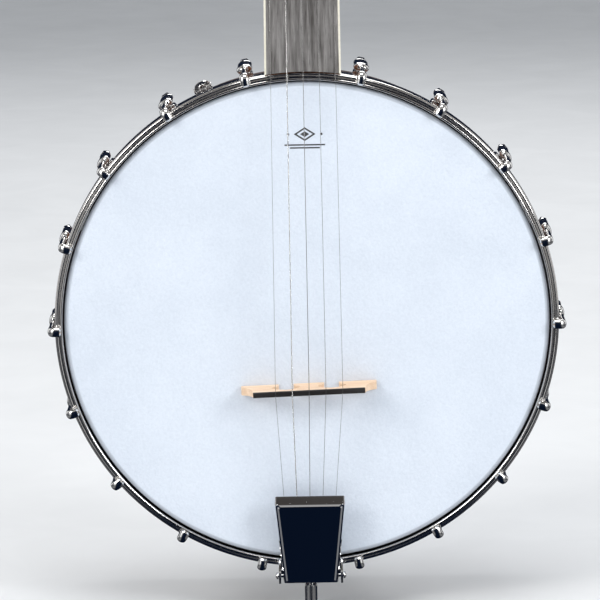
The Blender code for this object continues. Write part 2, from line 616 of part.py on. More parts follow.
def make_strings():
    post_for_string = {1: TUNER_PLACES[0], 2: TUNER_PLACES[2], 3: TUNER_PLACES[3], 4: TUNER_PLACES[1]}
    anchor_y, anchor_z = -0.1232, TAIL_BASE_TOP + 0.0012
    for number in range(1, 6):
        radius = STRING_DIAMETERS[number - 1] / 2
        clear = GAP + radius
        across = STRINGS_AT_BRIDGE[number - 1]
        crossing = BRIDGE_Y + (across - STRINGS_AT_BRIDGE[2]) * math.tan(BRIDGE_SLANT)
        points = [
            POT @ Vector((STRINGS_AT_TAIL[number - 1], anchor_y, anchor_z)),
            POT @ Vector((across, crossing, HEAD_TOP + BRIDGE_HEIGHT + clear)),
        ]
        if number == 5:
            points.append(NECK @ Vector((PIP_X, PIP_Y + PIP_RADIUS + GAP, PIP_TOP + clear)))
            points.append(NECK @ Vector((-0.0225, PEG_Y - 0.0006, PEG_Z + POST_RADIUS + clear)))
        else:
            points.append(NECK @ Vector((STRINGS_AT_NUT[number - 1], NUT_Y + NUT_LENGTH + GAP, NUT_TOP + clear)))
            x, y = post_for_string[number]
            inward = -math.copysign(POST_RADIUS + clear, x)
            points.append(HEADSTOCK @ Vector((x + inward, y, 0.0090)))
        string_object(number, points)


# What the neck and the fretboard are hollowed by, a clearance outside the rim, flesh hoop and tension hoop
pot_cutter = cutter("pot_cutter", lathe((
    (0, -0.020), (RIM_RADIUS + GAP, -0.020), (RIM_RADIUS + GAP, 0.0512), (0.1439, 0.0512),
    (0.1439, HOOP_BOTTOM - GAP), (HOOP_OUTER + GAP, HOOP_BOTTOM - GAP), (HOOP_OUTER + GAP, 0.110), (0, 0.110),
), RING_STEPS), pot_frame)

make_pot()
make_brackets()
make_strap_bracket()
make_tailpiece()
make_coordinator_rod()
make_neck()
make_fretboard()
make_tuners()
make_bridge()
make_strings()
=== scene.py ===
# %% [markdown]
# # An open-back five-string banjo
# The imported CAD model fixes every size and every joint, and this lesson puts the finished surfaces round it.
# Nothing here moves a CAD part. Each finished piece stands where its plain CAD twin stood, rides on the same
# body, and takes its place in the picture.

# %% Load the frame
import math

import bmesh
import bpy
from mathutils import Matrix, Vector


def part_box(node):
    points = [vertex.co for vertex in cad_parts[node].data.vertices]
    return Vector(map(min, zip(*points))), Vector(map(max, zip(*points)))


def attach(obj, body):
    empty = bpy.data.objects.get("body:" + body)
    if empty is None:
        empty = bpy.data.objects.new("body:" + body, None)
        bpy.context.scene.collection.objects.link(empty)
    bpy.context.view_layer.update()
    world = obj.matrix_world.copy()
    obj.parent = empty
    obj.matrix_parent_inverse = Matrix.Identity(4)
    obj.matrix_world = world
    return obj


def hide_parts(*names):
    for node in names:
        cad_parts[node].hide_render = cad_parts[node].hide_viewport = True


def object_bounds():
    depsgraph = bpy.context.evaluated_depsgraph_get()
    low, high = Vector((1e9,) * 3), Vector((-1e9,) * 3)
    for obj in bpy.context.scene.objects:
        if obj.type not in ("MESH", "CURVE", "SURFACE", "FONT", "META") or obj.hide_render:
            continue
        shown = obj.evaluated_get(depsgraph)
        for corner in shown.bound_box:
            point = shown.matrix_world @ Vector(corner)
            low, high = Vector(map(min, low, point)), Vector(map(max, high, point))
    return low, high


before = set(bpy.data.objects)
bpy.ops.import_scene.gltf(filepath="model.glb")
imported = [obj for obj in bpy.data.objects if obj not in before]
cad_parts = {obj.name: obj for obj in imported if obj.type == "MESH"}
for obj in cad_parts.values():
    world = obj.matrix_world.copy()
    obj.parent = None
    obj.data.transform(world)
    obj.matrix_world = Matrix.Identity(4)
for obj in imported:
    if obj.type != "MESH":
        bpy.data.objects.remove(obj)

CAD_BOX = [list(corner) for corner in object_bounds()]
print("CAD box", [[round(1000 * x, 1) for x in corner] for corner in CAD_BOX])

# %% [markdown]
# ## Three nested frames
# A banjo is drawn most easily in its maker's own directions. In the pot's frame x runs across, y runs up towards
# the neck and z comes out of the head. The neck is set back a degree and a half, and the headstock another
# fourteen, so each of those two gets a frame of its own. The sizes are read from the CAD nodes' boxes.

# %% Frames of the pot, the neck and the headstock
GAP = 0.0003
RIM_LOW, RIM_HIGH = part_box("rim")
RIM_RADIUS = (RIM_HIGH.x - RIM_LOW.x) / 2
RIM_WALL = 0.013
RIM_HEIGHT = -RIM_LOW.y
POT_CENTRE = (RIM_LOW.z + RIM_HIGH.z) / 2
HEAD_TOP = -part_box("head")[0].y
HOOP_TOP = -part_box("tension_hoop")[0].y
HOOP_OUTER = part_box("tension_hoop")[1].x
SCALE_LENGTH = 0.667
BRIDGE_Y = -0.038
BOARD_START = 0.1468
NECK_TILT = math.radians(1.5)
BOARD_THICK = 0.0055
NECK_FACE = -BOARD_THICK - GAP
BOARD_LENGTH = (SCALE_LENGTH + BRIDGE_Y - BOARD_START) / math.cos(NECK_TILT)
NUT_Y = BOARD_LENGTH + GAP
NUT_LENGTH, NUT_CENTRE, NUT_HALF, NUT_TOP = 0.005, 0.0024, 0.0159, 0.0006
HEADSTOCK_Y = NUT_Y + NUT_LENGTH + GAP
HEADSTOCK_THICK = 0.014
QUARTER = math.pi / 2


def at(x, y, z):
    return Matrix.Translation((x, y, z))


POT = at(0, 0, POT_CENTRE) @ Matrix.Rotation(QUARTER, 4, "X")
NECK = at(0, -0.0745, POT_CENTRE + BOARD_START) @ Matrix.Rotation(QUARTER - NECK_TILT, 4, "X")
HEADSTOCK = (
    NECK @ at(NUT_CENTRE, HEADSTOCK_Y, NECK_FACE) @ Matrix.Rotation(-math.radians(14), 4, "X")
)


def fret_y(number):
    """How far up the board a fret lies, by the rule of the twelfth root of two."""
    return BOARD_LENGTH - SCALE_LENGTH * (1 - 2 ** (-number / 12))


print(f"rim {2000 * RIM_RADIUS:.1f} mm across, board {1000 * BOARD_LENGTH:.1f} mm")
print(f"fifth fret {1000 * fret_y(5):.1f} mm up the board")

# %% [markdown]
# ## Building node trees
# The world, the materials and the Geometry Nodes trees are all made of nodes and links. `put` adds a node, sets
# its properties, fills or links its inputs by name or number, and hands back an output. The rest are short
# names for the nodes that turn up most, and `group` starts a node group with named sockets.

# %% Helpers for node trees
def put(tree, kind, values=None, out=0, **settings):
    """Add a node and give back one of its outputs, or all of them if out is None."""
    node = tree.nodes.new(kind)
    for name, value in settings.items():
        setattr(node, name, value)
    for key, value in (values or {}).items():
        if isinstance(value, bpy.types.NodeSocket):
            tree.links.new(value, node.inputs[key])
        else:
            node.inputs[key].default_value = value
    return node.outputs if out is None else node.outputs[out]


def maths(tree, operation, *terms, clamp=False):
    return put(tree, "ShaderNodeMath", dict(enumerate(terms)), operation=operation, use_clamp=clamp)


def remap(tree, value, low, high, to_low=0.0, to_high=1.0, smooth=False):
    return put(tree, "ShaderNodeMapRange", {
        "Value": value, "From Min": low, "From Max": high, "To Min": to_low, "To Max": to_high,
    }, interpolation_type="SMOOTHSTEP" if smooth else "LINEAR")


def mix(tree, factor, one, two):
    """Mix two colours, each a socket or three numbers."""
    one, two = ((*colour, 1) if isinstance(colour, tuple) else colour for colour in (one, two))
    return put(tree, "ShaderNodeMix", {"Factor": factor, "A": one, "B": two}, "Result", data_type="RGBA")


def noise(tree, place, scale, detail, roughness, distortion=0.0):
    return put(tree, "ShaderNodeTexNoise", {
        "Vector": place, "Scale": scale, "Detail": detail, "Roughness": roughness, "Distortion": distortion})


def stretch(tree, place, by):
    return put(tree, "ShaderNodeVectorMath", {0: place, 1: by}, operation="MULTIPLY")


def join(tree, sockets, values):
    """Link a value to each of the named sockets."""
    for key, value in values.items():
        tree.links.new(value, sockets[key])


def group(name, kind, inputs, outputs):
    """A node group; inputs are (name, socket type, default) and outputs are (name, socket type)."""
    tree = bpy.data.node_groups.new(name, kind)
    for label, socket, value in inputs:
        made = tree.interface.new_socket(label, in_out="INPUT", socket_type="NodeSocket" + socket)
        if value is not None:
            made.default_value = value
    for label, socket in outputs:
        tree.interface.new_socket(label, in_out="OUTPUT", socket_type="NodeSocket" + socket)
    return tree, tree.nodes.new("NodeGroupInput").outputs, tree.nodes.new("NodeGroupOutput").inputs


# %% [markdown]
# ## The camera and the light
# A long lens from well back flattens the pot the way a studio shot does. The camera stands a little above the
# head's axis, so that the bridge's neck side and the tailpiece's nose both show. Two tall soft boxes stand left
# and right in front, one hangs above, and one lights the back.

# %% Camera and lamps
def link(name, data):
    obj = bpy.data.objects.new(name, data)
    bpy.context.scene.collection.objects.link(obj)
    return obj


def aim(obj, place, target, roll=0.0):
    obj.location = place
    turn = (Vector(target) - Vector(place)).to_track_quat("-Z", "Y").to_matrix()
    obj.rotation_euler = (turn @ Matrix.Rotation(roll, 3, "Z")).to_euler()


ELEVATION = math.radians(11.0)
DISTANCE = 2.0
TARGET = Vector((-0.0038, -HEAD_TOP, 0.1467))
camera = link("camera", bpy.data.cameras.new("camera"))
camera.data.lens = 208.1
camera.data.sensor_width = 36
camera.data.clip_end = 50
aim(camera, TARGET + DISTANCE * Vector((0, -math.cos(ELEVATION), math.sin(ELEVATION))), TARGET, math.radians(-0.935))
bpy.context.scene.camera = camera


POT_MIDDLE = (0, 0, POT_CENTRE + 0.1)


def soft_box(name, place, width, height, power, tint=(1, 1, 1)):
    lamp = link(name, bpy.data.lights.new(name, "AREA"))
    lamp.data.shape = "RECTANGLE"
    lamp.data.size, lamp.data.size_y = width, height
    lamp.data.energy, lamp.data.color = power, tint
    lamp.visible_camera = False
    aim(lamp, place, POT_MIDDLE)


soft_box("left_box", (-1.55, -1.25, 1.25), 0.7, 1.1, 26, (1.0, 0.985, 0.96))
soft_box("right_box", (1.6, -1.2, 1.05), 0.6, 1.0, 22, (0.97, 0.985, 1.0))
soft_box("top_box", (0.0, -0.25, 2.1), 1.3, 0.8, 17)
soft_box("back_box", (0.2, 1.9, 1.5), 1.2, 0.9, 14)

# %% [markdown]
# The world is pale to the eye and to matt surfaces, and dark to reflections, as black flags round a studio table
# make it: that is what gives plated metal its contrast. The mirrored world is dark in front, has a bright band
# down each side for the bars of light in the hoop and the hooks, and fades to dark below and overhead.

# %% The world seen and the world mirrored
world = bpy.data.worlds.new("studio")
bpy.context.scene.world = world
world.use_nodes = True
tree = world.node_tree
tree.nodes.clear()
split = put(tree, "ShaderNodeSeparateXYZ", {0: put(tree, "ShaderNodeTexCoord", out="Generated")}, None)
ramp = tree.nodes.new("ShaderNodeValToRGB")
tree.links.new(maths(tree, "ABSOLUTE", split["X"]), ramp.inputs["Fac"])
elements = ramp.color_ramp.elements
elements.remove(elements[1])
side_bands = ((0.0, (0.006, 0.011, 0.026)), (0.45, (0.012, 0.017, 0.032)), (0.64, (0.95, 0.95, 0.95)),
              (0.84, (0.95, 0.95, 0.95)), (0.93, (0.2, 0.2, 0.21)), (1.0, (0.3, 0.3, 0.31)))
for k, (place, colour) in enumerate(side_bands):
    element = elements[0] if k == 0 else elements.new(place)
    element.position, element.color = place, (*colour, 1)
mirrored = ramp.outputs["Color"]
for start, end, most, tint in ((-0.14, -0.21, 0.78, (0.002, 0.005, 0.014)), (0.46, 0.6, 1.0, (0.42, 0.41, 0.4)),
                               (0.76, 0.9, 1.0, (0.06, 0.054, 0.05))):
    mirrored = mix(tree, remap(tree, split["Z"], start, end, 0.0, most, smooth=True), mirrored, tint)
seen = put(tree, "ShaderNodeBackground", {"Color": (0.8, 0.83, 0.87, 1), "Strength": 0.55})
flagged = put(tree, "ShaderNodeBackground", {"Color": mirrored})
glossy = put(tree, "ShaderNodeLightPath", out="Is Glossy Ray")
put(tree, "ShaderNodeOutputWorld", {0: put(tree, "ShaderNodeMixShader", {0: glossy, 1: seen, 2: flagged})}, None)
bpy.context.scene.view_settings.view_transform = "Standard"
print("camera at", [round(x, 3) for x in camera.location], "lens", camera.data.lens)

# %% [markdown]
# ## Shared surface effects
# Four effects turn up on many finishes, so each is a group used with different values. `handling` gives plated
# metal and plastic their faint smudges and hairlines. `wood figure` draws grain along z with early and late
# wood and open pores. `fine grain` is the tight mottle of a sprayed coat, of bone or of plaster. `brushing`
# gives turned or drawn metal its fine parallel lines.

# %% The handling group
handling, given, result = group("handling", "ShaderNodeTree", (
    ("Vector", "Vector", None), ("Scale", "Float", 60.0), ("Roughness", "Float", 0.1),
    ("Smudge", "Float", 0.06), ("Hairlines", "Float", 1.0),
), (("Roughness", "Float"), ("Smudges", "Float"), ("Height", "Float")))
cloud = noise(handling, given["Vector"], given["Scale"], 4.0, 0.62)
lines = noise(handling, stretch(handling, given["Vector"], (9.0, 7.0, 0.9)), 420.0, 2.0, 0.5)
sharp = remap(handling, lines, 0.62, 0.72)
around = maths(handling, "SUBTRACT", cloud, 0.42)
spread = maths(handling, "MULTIPLY_ADD", around, given["Smudge"], given["Roughness"])
join(handling, result, {
    "Roughness": maths(handling, "MULTIPLY_ADD", sharp, 0.03, spread, clamp=True), "Smudges": cloud,
    "Height": maths(handling, "MULTIPLY", sharp, given["Hairlines"])})
print("handling group:", len(handling.nodes), "nodes")

# %% The wood figure group
wood_figure, given, result = group("wood figure", "ShaderNodeTree", (
    ("Vector", "Vector", None), ("Grain", "Float", 120.0), ("Early Wood", "Color", (0.5, 0.3, 0.15, 1)),
    ("Late Wood", "Color", (0.3, 0.15, 0.07, 1)), ("Pore Colour", "Color", (0.05, 0.03, 0.02, 1)),
    ("Pores", "Float", 0.6), ("Roughness", "Float", 0.35),
), (("Color", "Color"), ("Roughness", "Float"), ("Height", "Float")))
along = stretch(wood_figure, given["Vector"], (1.0, 1.0, 0.055))
banded = remap(wood_figure, noise(wood_figure, along, given["Grain"], 6.0, 0.62, 0.35), 0.34, 0.66)
tight = maths(wood_figure, "MULTIPLY", given["Grain"], 11.0)
dots = noise(wood_figure, stretch(wood_figure, along, (1.0, 1.0, 0.45)), tight, 2.0, 0.5)
pored = maths(wood_figure, "MULTIPLY", remap(wood_figure, dots, 0.56, 0.7), given["Pores"])
body = mix(wood_figure, banded, given["Early Wood"], given["Late Wood"])
join(wood_figure, result, {
    "Color": mix(wood_figure, pored, body, given["Pore Colour"]),
    "Roughness": maths(wood_figure, "MULTIPLY_ADD", pored, 0.18, given["Roughness"], clamp=True),
    "Height": maths(wood_figure, "SUBTRACT", banded, pored)})
print("wood figure group:", len(wood_figure.nodes), "nodes")

# %% The fine grain and brushing groups
fine_grain, given, result = group("fine grain", "ShaderNodeTree", (
    ("Vector", "Vector", None), ("Scale", "Float", 900.0), ("Crackle", "Float", 0.5), ("Roughness", "Float", 0.5),
), (("Mottle", "Float"), ("Roughness", "Float"), ("Height", "Float")))
specks = noise(fine_grain, given["Vector"], given["Scale"], 4.0, 0.6, 0.6)
cells = put(fine_grain, "ShaderNodeTexVoronoi", {
    "Vector": given["Vector"], "Scale": maths(fine_grain, "MULTIPLY", given["Scale"], 0.45)}, "Distance",
    feature="SMOOTH_F1")
patches = noise(fine_grain, given["Vector"], maths(fine_grain, "MULTIPLY", given["Scale"], 0.035), 3.0, 0.55)
join(fine_grain, result, {
    "Mottle": remap(fine_grain, maths(fine_grain, "ADD", specks, patches), 0.7, 1.3),
    "Roughness": maths(fine_grain, "MULTIPLY_ADD", specks, 0.12, given["Roughness"], clamp=True),
    "Height": maths(fine_grain, "MULTIPLY_ADD", cells, given["Crackle"], specks)})

brushing, given, result = group("brushing", "ShaderNodeTree", (
    ("Vector", "Vector", None), ("Lines", "Vector", (1.0, 1.0, 60.0)), ("Scale", "Float", 300.0),
    ("Roughness", "Float", 0.2), ("Spread", "Float", 0.12),
), (("Roughness", "Float"), ("Height", "Float")))
strands = noise(brushing, stretch(brushing, given["Vector"], given["Lines"]), given["Scale"], 3.0, 0.65)
centred = maths(brushing, "SUBTRACT", strands, 0.5)
join(brushing, result, {
    "Roughness": maths(brushing, "MULTIPLY_ADD", centred, given["Spread"], given["Roughness"], clamp=True),
    "Height": strands})
print("fine grain and brushing groups:", len(fine_grain.nodes), "and", len(brushing.nodes), "nodes")

# %% [markdown]
# ## A finish
# Each finish is one Principled shader. What is the same everywhere is set on its own sockets, and what changes
# over the surface comes from the groups. The relief goes through a Bump node, whose distance is the real depth
# of the marks in metres.

# %% Helpers for finishes
def finish(name, roughness=0.4, metallic=0.0, coat=0.0):
    """A material, its node tree, its shader's inputs, and the piece's own Object coordinates."""
    made = bpy.data.materials.new(name)
    made.use_nodes = True
    shader = made.node_tree.nodes["Principled BSDF"].inputs
    for socket, value in (("Roughness", roughness), ("Metallic", metallic), ("Coat Weight", coat),
                          ("Coat Roughness", 0.08)):
        shader[socket].default_value = value
    return made, made.node_tree, shader, put(made.node_tree, "ShaderNodeTexCoord", out="Object")


def effect(tree, nodes, values):
    """Place a shared group in a material and fill its inputs."""
    return put(tree, "ShaderNodeGroup", values, None, node_tree=nodes)


def dress(tree, shader, colour, roughness, height, depth, strength):
    """Link a finish's colour, roughness and relief."""
    bump = put(tree, "ShaderNodeBump", {"Height": height, "Distance": depth, "Strength": strength})
    join(tree, shader, {"Base Color": colour, "Roughness": roughness, "Normal": bump})


# %% [markdown]
# ## Plated metal
# The hooks, shoes, nuts and tailpiece are nickel plated and buffed, so they differ only in how clean and how
# flat they are. The tension hoop was drawn through a die and carries faint lines round it. The tailpiece's
# lid is the flattest piece and gives an almost clear reflection.

# %% Bright, hoop and mirror plate
def plated(name, low, high, roughness, smudge, scale=60.0):
    made, tree, shader, place = finish(name, metallic=1.0)
    marks = effect(tree, handling, {"Vector": place, "Scale": scale, "Roughness": roughness, "Smudge": smudge})
    dress(tree, shader, mix(tree, marks["Smudges"], low, high), marks["Roughness"], marks["Height"], 0.00002, 0.25)
    return made


bright_plate = plated("bright_plate", (0.72, 0.72, 0.71), (0.9, 0.9, 0.9), 0.085, 0.1)
hoop_plate = plated("hoop_plate", (0.64, 0.62, 0.6), (0.82, 0.81, 0.8), 0.12, 0.14, 38.0)
mirror_plate = plated("mirror_plate", (0.74, 0.76, 0.8), (0.84, 0.85, 0.88), 0.035, 0.05, 30.0)
print("plated finishes:", bright_plate.name, hoop_plate.name, mirror_plate.name)

# %% [markdown]
# ## Turned and rolled metal
# The rod and the bolts are plain turned steel, the tone ring is rolled brass, the flesh hoop drawn aluminium,
# and the frets are nickel silver wire. They are less polished than plate, so the brushing group leads.

# %% Brass, aluminium, steel and fret wire
def turned(name, low, high, roughness, spread, lines=(1.0, 1.0, 60.0)):
    made, tree, shader, place = finish(name, metallic=1.0)
    marks = effect(tree, handling, {"Vector": place, "Scale": 90.0, "Roughness": roughness, "Smudge": 0.08})
    combed = effect(tree, brushing, {"Vector": place, "Lines": lines, "Roughness": roughness, "Spread": spread})
    dress(tree, shader, mix(tree, marks["Smudges"], low, high), combed["Roughness"], combed["Height"], 0.00002, 0.3)
    return made


ring_brass = turned("ring_brass", (0.6, 0.42, 0.16), (0.86, 0.66, 0.32), 0.22, 0.16)
hoop_alloy = turned("hoop_alloy", (0.58, 0.58, 0.59), (0.78, 0.78, 0.79), 0.32, 0.18)
rod_steel = turned("rod_steel", (0.46, 0.44, 0.42), (0.7, 0.68, 0.65), 0.26, 0.18)
fret_wire = turned("fret_wire", (0.62, 0.6, 0.54), (0.84, 0.82, 0.76), 0.16, 0.1, (60.0, 1.0, 1.0))
string_steel = turned("string_steel", (0.6, 0.59, 0.57), (0.86, 0.85, 0.83), 0.2, 0.1, (1.0, 1.0, 4.0))
print("turned finishes:", ring_brass.name, hoop_alloy.name, rod_steel.name, fret_wire.name, string_steel.name)

# %% [markdown]
# The fourth string is wound: a fine wire goes round a core, about four turns to each millimetre. Modelling
# thousands of turns would be wasteful, so a wave along the string's own UV map raises them as relief. The same wave
# paints the colour darker between the turns and lighter on their crests: painted shade and painted highlight.

# %% The wound string
wound_steel, tree, shader, place = finish("wound_steel", 0.24, 1.0)
run = put(tree, "ShaderNodeUVMap", uv_map="UVMap")
turns = put(tree, "ShaderNodeTexWave", {"Vector": run, "Scale": 1250.0, "Distortion": 0.0}, "Fac",
            wave_type="BANDS", bands_direction="Y", wave_profile="SIN")
marks = effect(tree, handling, {"Vector": place, "Scale": 120.0, "Roughness": 0.24, "Smudge": 0.12})
# the wave's colour is painted shade between the turns and painted highlight on their crests
dress(tree, shader, mix(tree, turns, (0.42, 0.41, 0.4), (0.86, 0.85, 0.84)), marks["Roughness"], turns, 0.00006, 0.7)
print("wound string finish:", wound_steel.name)

# %% [markdown]
# ## The coated head
# A banjo head is clear film with a rough white coat on its top, which ends a little short of the edge. Beyond the
# coat the film's collar is painted near black, a painted shade for the dark gap beside the hoop. The coat has the
# pebbled grain of dried spray, and where the film bends over the tone ring's crest it is painted grey, a painted
# shade on the bend. The distance from the pot's axis, made from Object coordinates, places both.

# %% The head's finish
def from_axis(tree, place):
    """The distance from the pot's axis."""
    split = put(tree, "ShaderNodeSeparateXYZ", {0: place}, None)
    flat = put(tree, "ShaderNodeCombineXYZ", {0: split["X"], 1: maths(tree, "SUBTRACT", split["Z"], POT_CENTRE)})
    return put(tree, "ShaderNodeVectorMath", {0: flat}, "Value", operation="LENGTH")


coated_head, tree, shader, place = finish("coated_head", 0.6)
shader["Specular IOR Level"].default_value = 0.35
reach = from_axis(tree, place)
coat = effect(tree, fine_grain, {"Vector": place, "Scale": 620.0, "Crackle": 0.8, "Roughness": 0.52})
white = mix(tree, coat["Mottle"], (0.61, 0.665, 0.745), (0.7, 0.755, 0.835))
# where the film bends over the tone ring's crest the coat is painted grey: painted shade on the bend
bend_shade_mask = remap(tree, maths(tree, "SUBTRACT", reach, 0.1372), 0.0, 0.0012, smooth=True)
coat_with_bend_shade = mix(tree, bend_shade_mask, white, (0.46, 0.5, 0.56))
# beyond the coat the collar is painted near black: painted shade for the dark gap beside the hoop
collar_painted_shade = mix(tree, remap(tree, reach, 0.14005, 0.14025), coat_with_bend_shade, (0.012, 0.012, 0.014))
dress(tree, shader, collar_painted_shade, coat["Roughness"], coat["Height"], 0.0003, 0.7)
print("head finish:", coated_head.name)

# %% [markdown]
# ## Woods
# Mahogany for the neck, maple plies for the rim, a dark streaky hardwood for the fretboard, bare maple for the
# bridge and ebony for its cap. They are one group with different colours, scales and grain directions. The
# rim's grain runs round it, so the rim reads its own UV map, whose first number is the distance round.

# %% Wood finishes
def wooden(name, early, late, pore, grain, pores, roughness, coat=0.0, turn=(0, 0, 0)):
    made, tree, shader, place = finish(name, roughness, coat=coat)
    wood = effect(tree, wood_figure, {
        "Vector": put(tree, "ShaderNodeMapping", {"Vector": place, "Rotation": turn}), "Grain": grain,
        "Early Wood": (*early, 1), "Late Wood": (*late, 1), "Pore Colour": (*pore, 1), "Pores": pores,
        "Roughness": roughness})
    dress(tree, shader, wood["Color"], wood["Roughness"], wood["Height"], 0.00006, 0.5)
    return made


ACROSS_GRAIN = (0, QUARTER, 0)
neck_wood = wooden("neck_wood", (0.25, 0.088, 0.034), (0.12, 0.036, 0.014), (0.03, 0.01, 0.006), 95, 0.75,
                   0.34, 0.55)
fretboard_wood = wooden("fretboard_wood", (0.27, 0.258, 0.25), (0.06, 0.054, 0.05), (0.018, 0.015, 0.014),
                        430, 0.6, 0.42)
bridge_maple = wooden("bridge_maple", (0.86, 0.655, 0.48), (0.74, 0.52, 0.35), (0.42, 0.25, 0.14), 210, 0.35,
                      0.55, 0.0, ACROSS_GRAIN)
ebony = wooden("ebony", (0.03, 0.027, 0.026), (0.014, 0.012, 0.012), (0.004, 0.004, 0.004), 240, 0.5, 0.34, 0.0,
               ACROSS_GRAIN)
veneer = wooden("headstock_veneer", (0.026, 0.022, 0.021), (0.01, 0.009, 0.009), (0.003, 0.003, 0.003), 150, 0.5,
                0.26, 0.6)

PLY = 0.00433
rim_wood, tree, shader, place = finish("rim_wood", 0.32, coat=0.5)
run = put(tree, "ShaderNodeSeparateXYZ", {0: put(tree, "ShaderNodeUVMap", uv_map="UVMap")}, None)
wood = effect(tree, wood_figure, {
    "Vector": put(tree, "ShaderNodeCombineXYZ", {0: run["Y"], 2: run["X"]}), "Grain": 90.0,
    "Early Wood": (0.12, 0.044, 0.018, 1), "Late Wood": (0.062, 0.021, 0.009, 1),
    "Pore Colour": (0.02, 0.008, 0.004, 1), "Pores": 0.35, "Roughness": 0.3})
part = maths(tree, "PINGPONG", maths(tree, "MULTIPLY", from_axis(tree, place), 1 / PLY), 1.0)
glued = mix(tree, remap(tree, part, 0.97, 0.99), wood["Color"], (0.03, 0.012, 0.006))
dress(tree, shader, glued, wood["Roughness"], wood["Height"], 0.00005, 0.4)
print("wood finishes:", neck_wood.name, rim_wood.name, fretboard_wood.name, bridge_maple.name, ebony.name)

# %% [markdown]
# ## Bone, plastics and ink
# Bone is dense and faintly mottled, ivoroid binding is creamier and glossier, pearl plastic has soft clouds
# that run into each other, and the cover on the headstock is polished black. The mark on the head is thin ink.

# %% Bone, binding, pearl, black plastic and ink
def moulded(name, low, high, roughness, scale, coat=0.0, depth=0.00002):
    made, tree, shader, place = finish(name, roughness, coat=coat)
    grain = effect(tree, fine_grain, {"Vector": place, "Scale": scale, "Crackle": 0.3, "Roughness": roughness})
    dress(tree, shader, mix(tree, grain["Mottle"], low, high), grain["Roughness"], grain["Height"], depth, 0.4)
    return made


bone = moulded("bone", (0.76, 0.72, 0.61), (0.88, 0.86, 0.78), 0.34, 700)
ivoroid = moulded("ivoroid", (0.7, 0.66, 0.54), (0.82, 0.79, 0.68), 0.3, 500, 0.2)
black_plastic = moulded("black_plastic", (0.014, 0.014, 0.016), (0.028, 0.028, 0.031), 0.18, 500, 0.3)
ink = moulded("head_ink", (0.018, 0.018, 0.02), (0.07, 0.07, 0.074), 0.55, 1500)

pearloid, tree, shader, place = finish("pearloid", 0.22, coat=0.5)
clouds = noise(tree, place, 190.0, 3.0, 0.45, 2.6)
folds = put(tree, "ShaderNodeTexWave", {
    "Vector": place, "Scale": 60.0, "Distortion": 9.0, "Detail": 2.0, "Detail Scale": 1.4}, "Fac", wave_type="BANDS")
marks = effect(tree, handling, {"Vector": place, "Scale": 80.0, "Roughness": 0.2, "Smudge": 0.08})
dress(tree, shader, mix(tree, maths(tree, "MULTIPLY", clouds, folds), (0.56, 0.55, 0.52), (0.92, 0.9, 0.85)),
      marks["Roughness"], clouds, 0.00002, 0.3)
print("moulded finishes:", bone.name, ivoroid.name, black_plastic.name, ink.name, pearloid.name)

# %% [markdown]
# ## The floor
# A pale, matt studio floor, with only the faint unevenness of painted board. Plate doesn't mirror it, for the
# same reason as the dark flags above.

# %% Floor
studio_floor = moulded("studio_floor", (0.7, 0.71, 0.72), (0.76, 0.77, 0.78), 0.7, 12, 0.0, 0.0004)
FLOOR_LEVEL = CAD_BOX[0][2] - 0.0004
bm = bmesh.new()
bmesh.ops.create_circle(bm, cap_ends=True, segments=96, radius=16.0)
bmesh.ops.translate(bm, verts=bm.verts, vec=(0, 0, FLOOR_LEVEL))
mesh = bpy.data.meshes.new("floor")
bm.to_mesh(mesh)
bm.free()
mesh.materials.append(studio_floor)
floor = link("floor", mesh)
floor.visible_glossy = False
print(f"floor at z = {1000 * FLOOR_LEVEL:.1f} mm")

# %% [markdown]
# ## Shaping tools
# Real parts have softened edges, and a softened edge is what catches the light. `rounded` eases the corners of
# a flat outline, `inset` moves an outline inwards, and `slab` uses both to make a plate with broken edges.
# `lathe` turns a profile about z, and `skin` joins a row of outlines into one closed shell.

# %% Outline helpers
def rounded(points, reach, steps=4):
    """Ease the corners of a flat outline; a point may carry its own reach as a third number."""
    made = []
    for k, point in enumerate(points):
        own = point[2] if len(point) > 2 else reach
        here = Vector(point[:2])
        back = Vector(points[k - 1][:2]) - here
        ahead = Vector(points[(k + 1) % len(points)][:2]) - here
        if own == 0:
            made.append(here)
            continue
        start = here + back.normalized() * min(own, back.length * 0.48)
        end = here + ahead.normalized() * min(own, ahead.length * 0.48)
        for s in range(steps + 1):
            t = s / steps
            made.append(start.lerp(here, t).lerp(here.lerp(end, t), t))
    return made


def inset(outline, distance):
    """Move a flat outline inwards."""
    area = sum(a.x * b.y - b.x * a.y for a, b in zip(outline, outline[1:] + outline[:1]))
    turn = 1 if area > 0 else -1
    moved = []
    for k, here in enumerate(outline):
        one = (here - outline[k - 1]).normalized()
        two = (outline[(k + 1) % len(outline)] - here).normalized()
        side = Vector((-one.y, one.x)) * turn
        middle = (side + Vector((-two.y, two.x)) * turn).normalized()
        moved.append(here + middle * distance / max(middle.dot(side), 0.4))
    return moved


def skin(sections):
    """Join a row of outlines with the same number of points into one closed shell."""
    bm = bmesh.new()
    rings = [[bm.verts.new(point) for point in section] for section in sections]
    for low, high in zip(rings, rings[1:]):
        for k in range(len(low)):
            n = (k + 1) % len(low)
            bm.faces.new((low[k], low[n], high[n], high[k]))
    bm.faces.new(rings[0][::-1])
    bm.faces.new(rings[-1])
    return bm


def slab(outline, low, high, edge=0.0002):
    """A plate between two heights with its edges broken."""
    outline = [Vector(p[:2]) for p in outline]
    levels = ((low, edge), (low + edge, 0.0), (high - edge, 0.0), (high, edge))
    return skin([[(p.x, p.y, z) for p in inset(outline, d)] for z, d in levels])


def box_outline(left, right, low, high):
    return [(left, low), (right, low), (right, high), (left, high)]


def hexagon(across, deep, levels, ease=3):
    """A nut along z with eased corners; levels are (height, share of its full size)."""
    turns = [math.radians(60 * k + t) for k in range(6) for t in (-ease, ease)]
    return skin([[(across * share * math.cos(a), deep * share * math.sin(a), z) for a in turns] for z, share in levels])


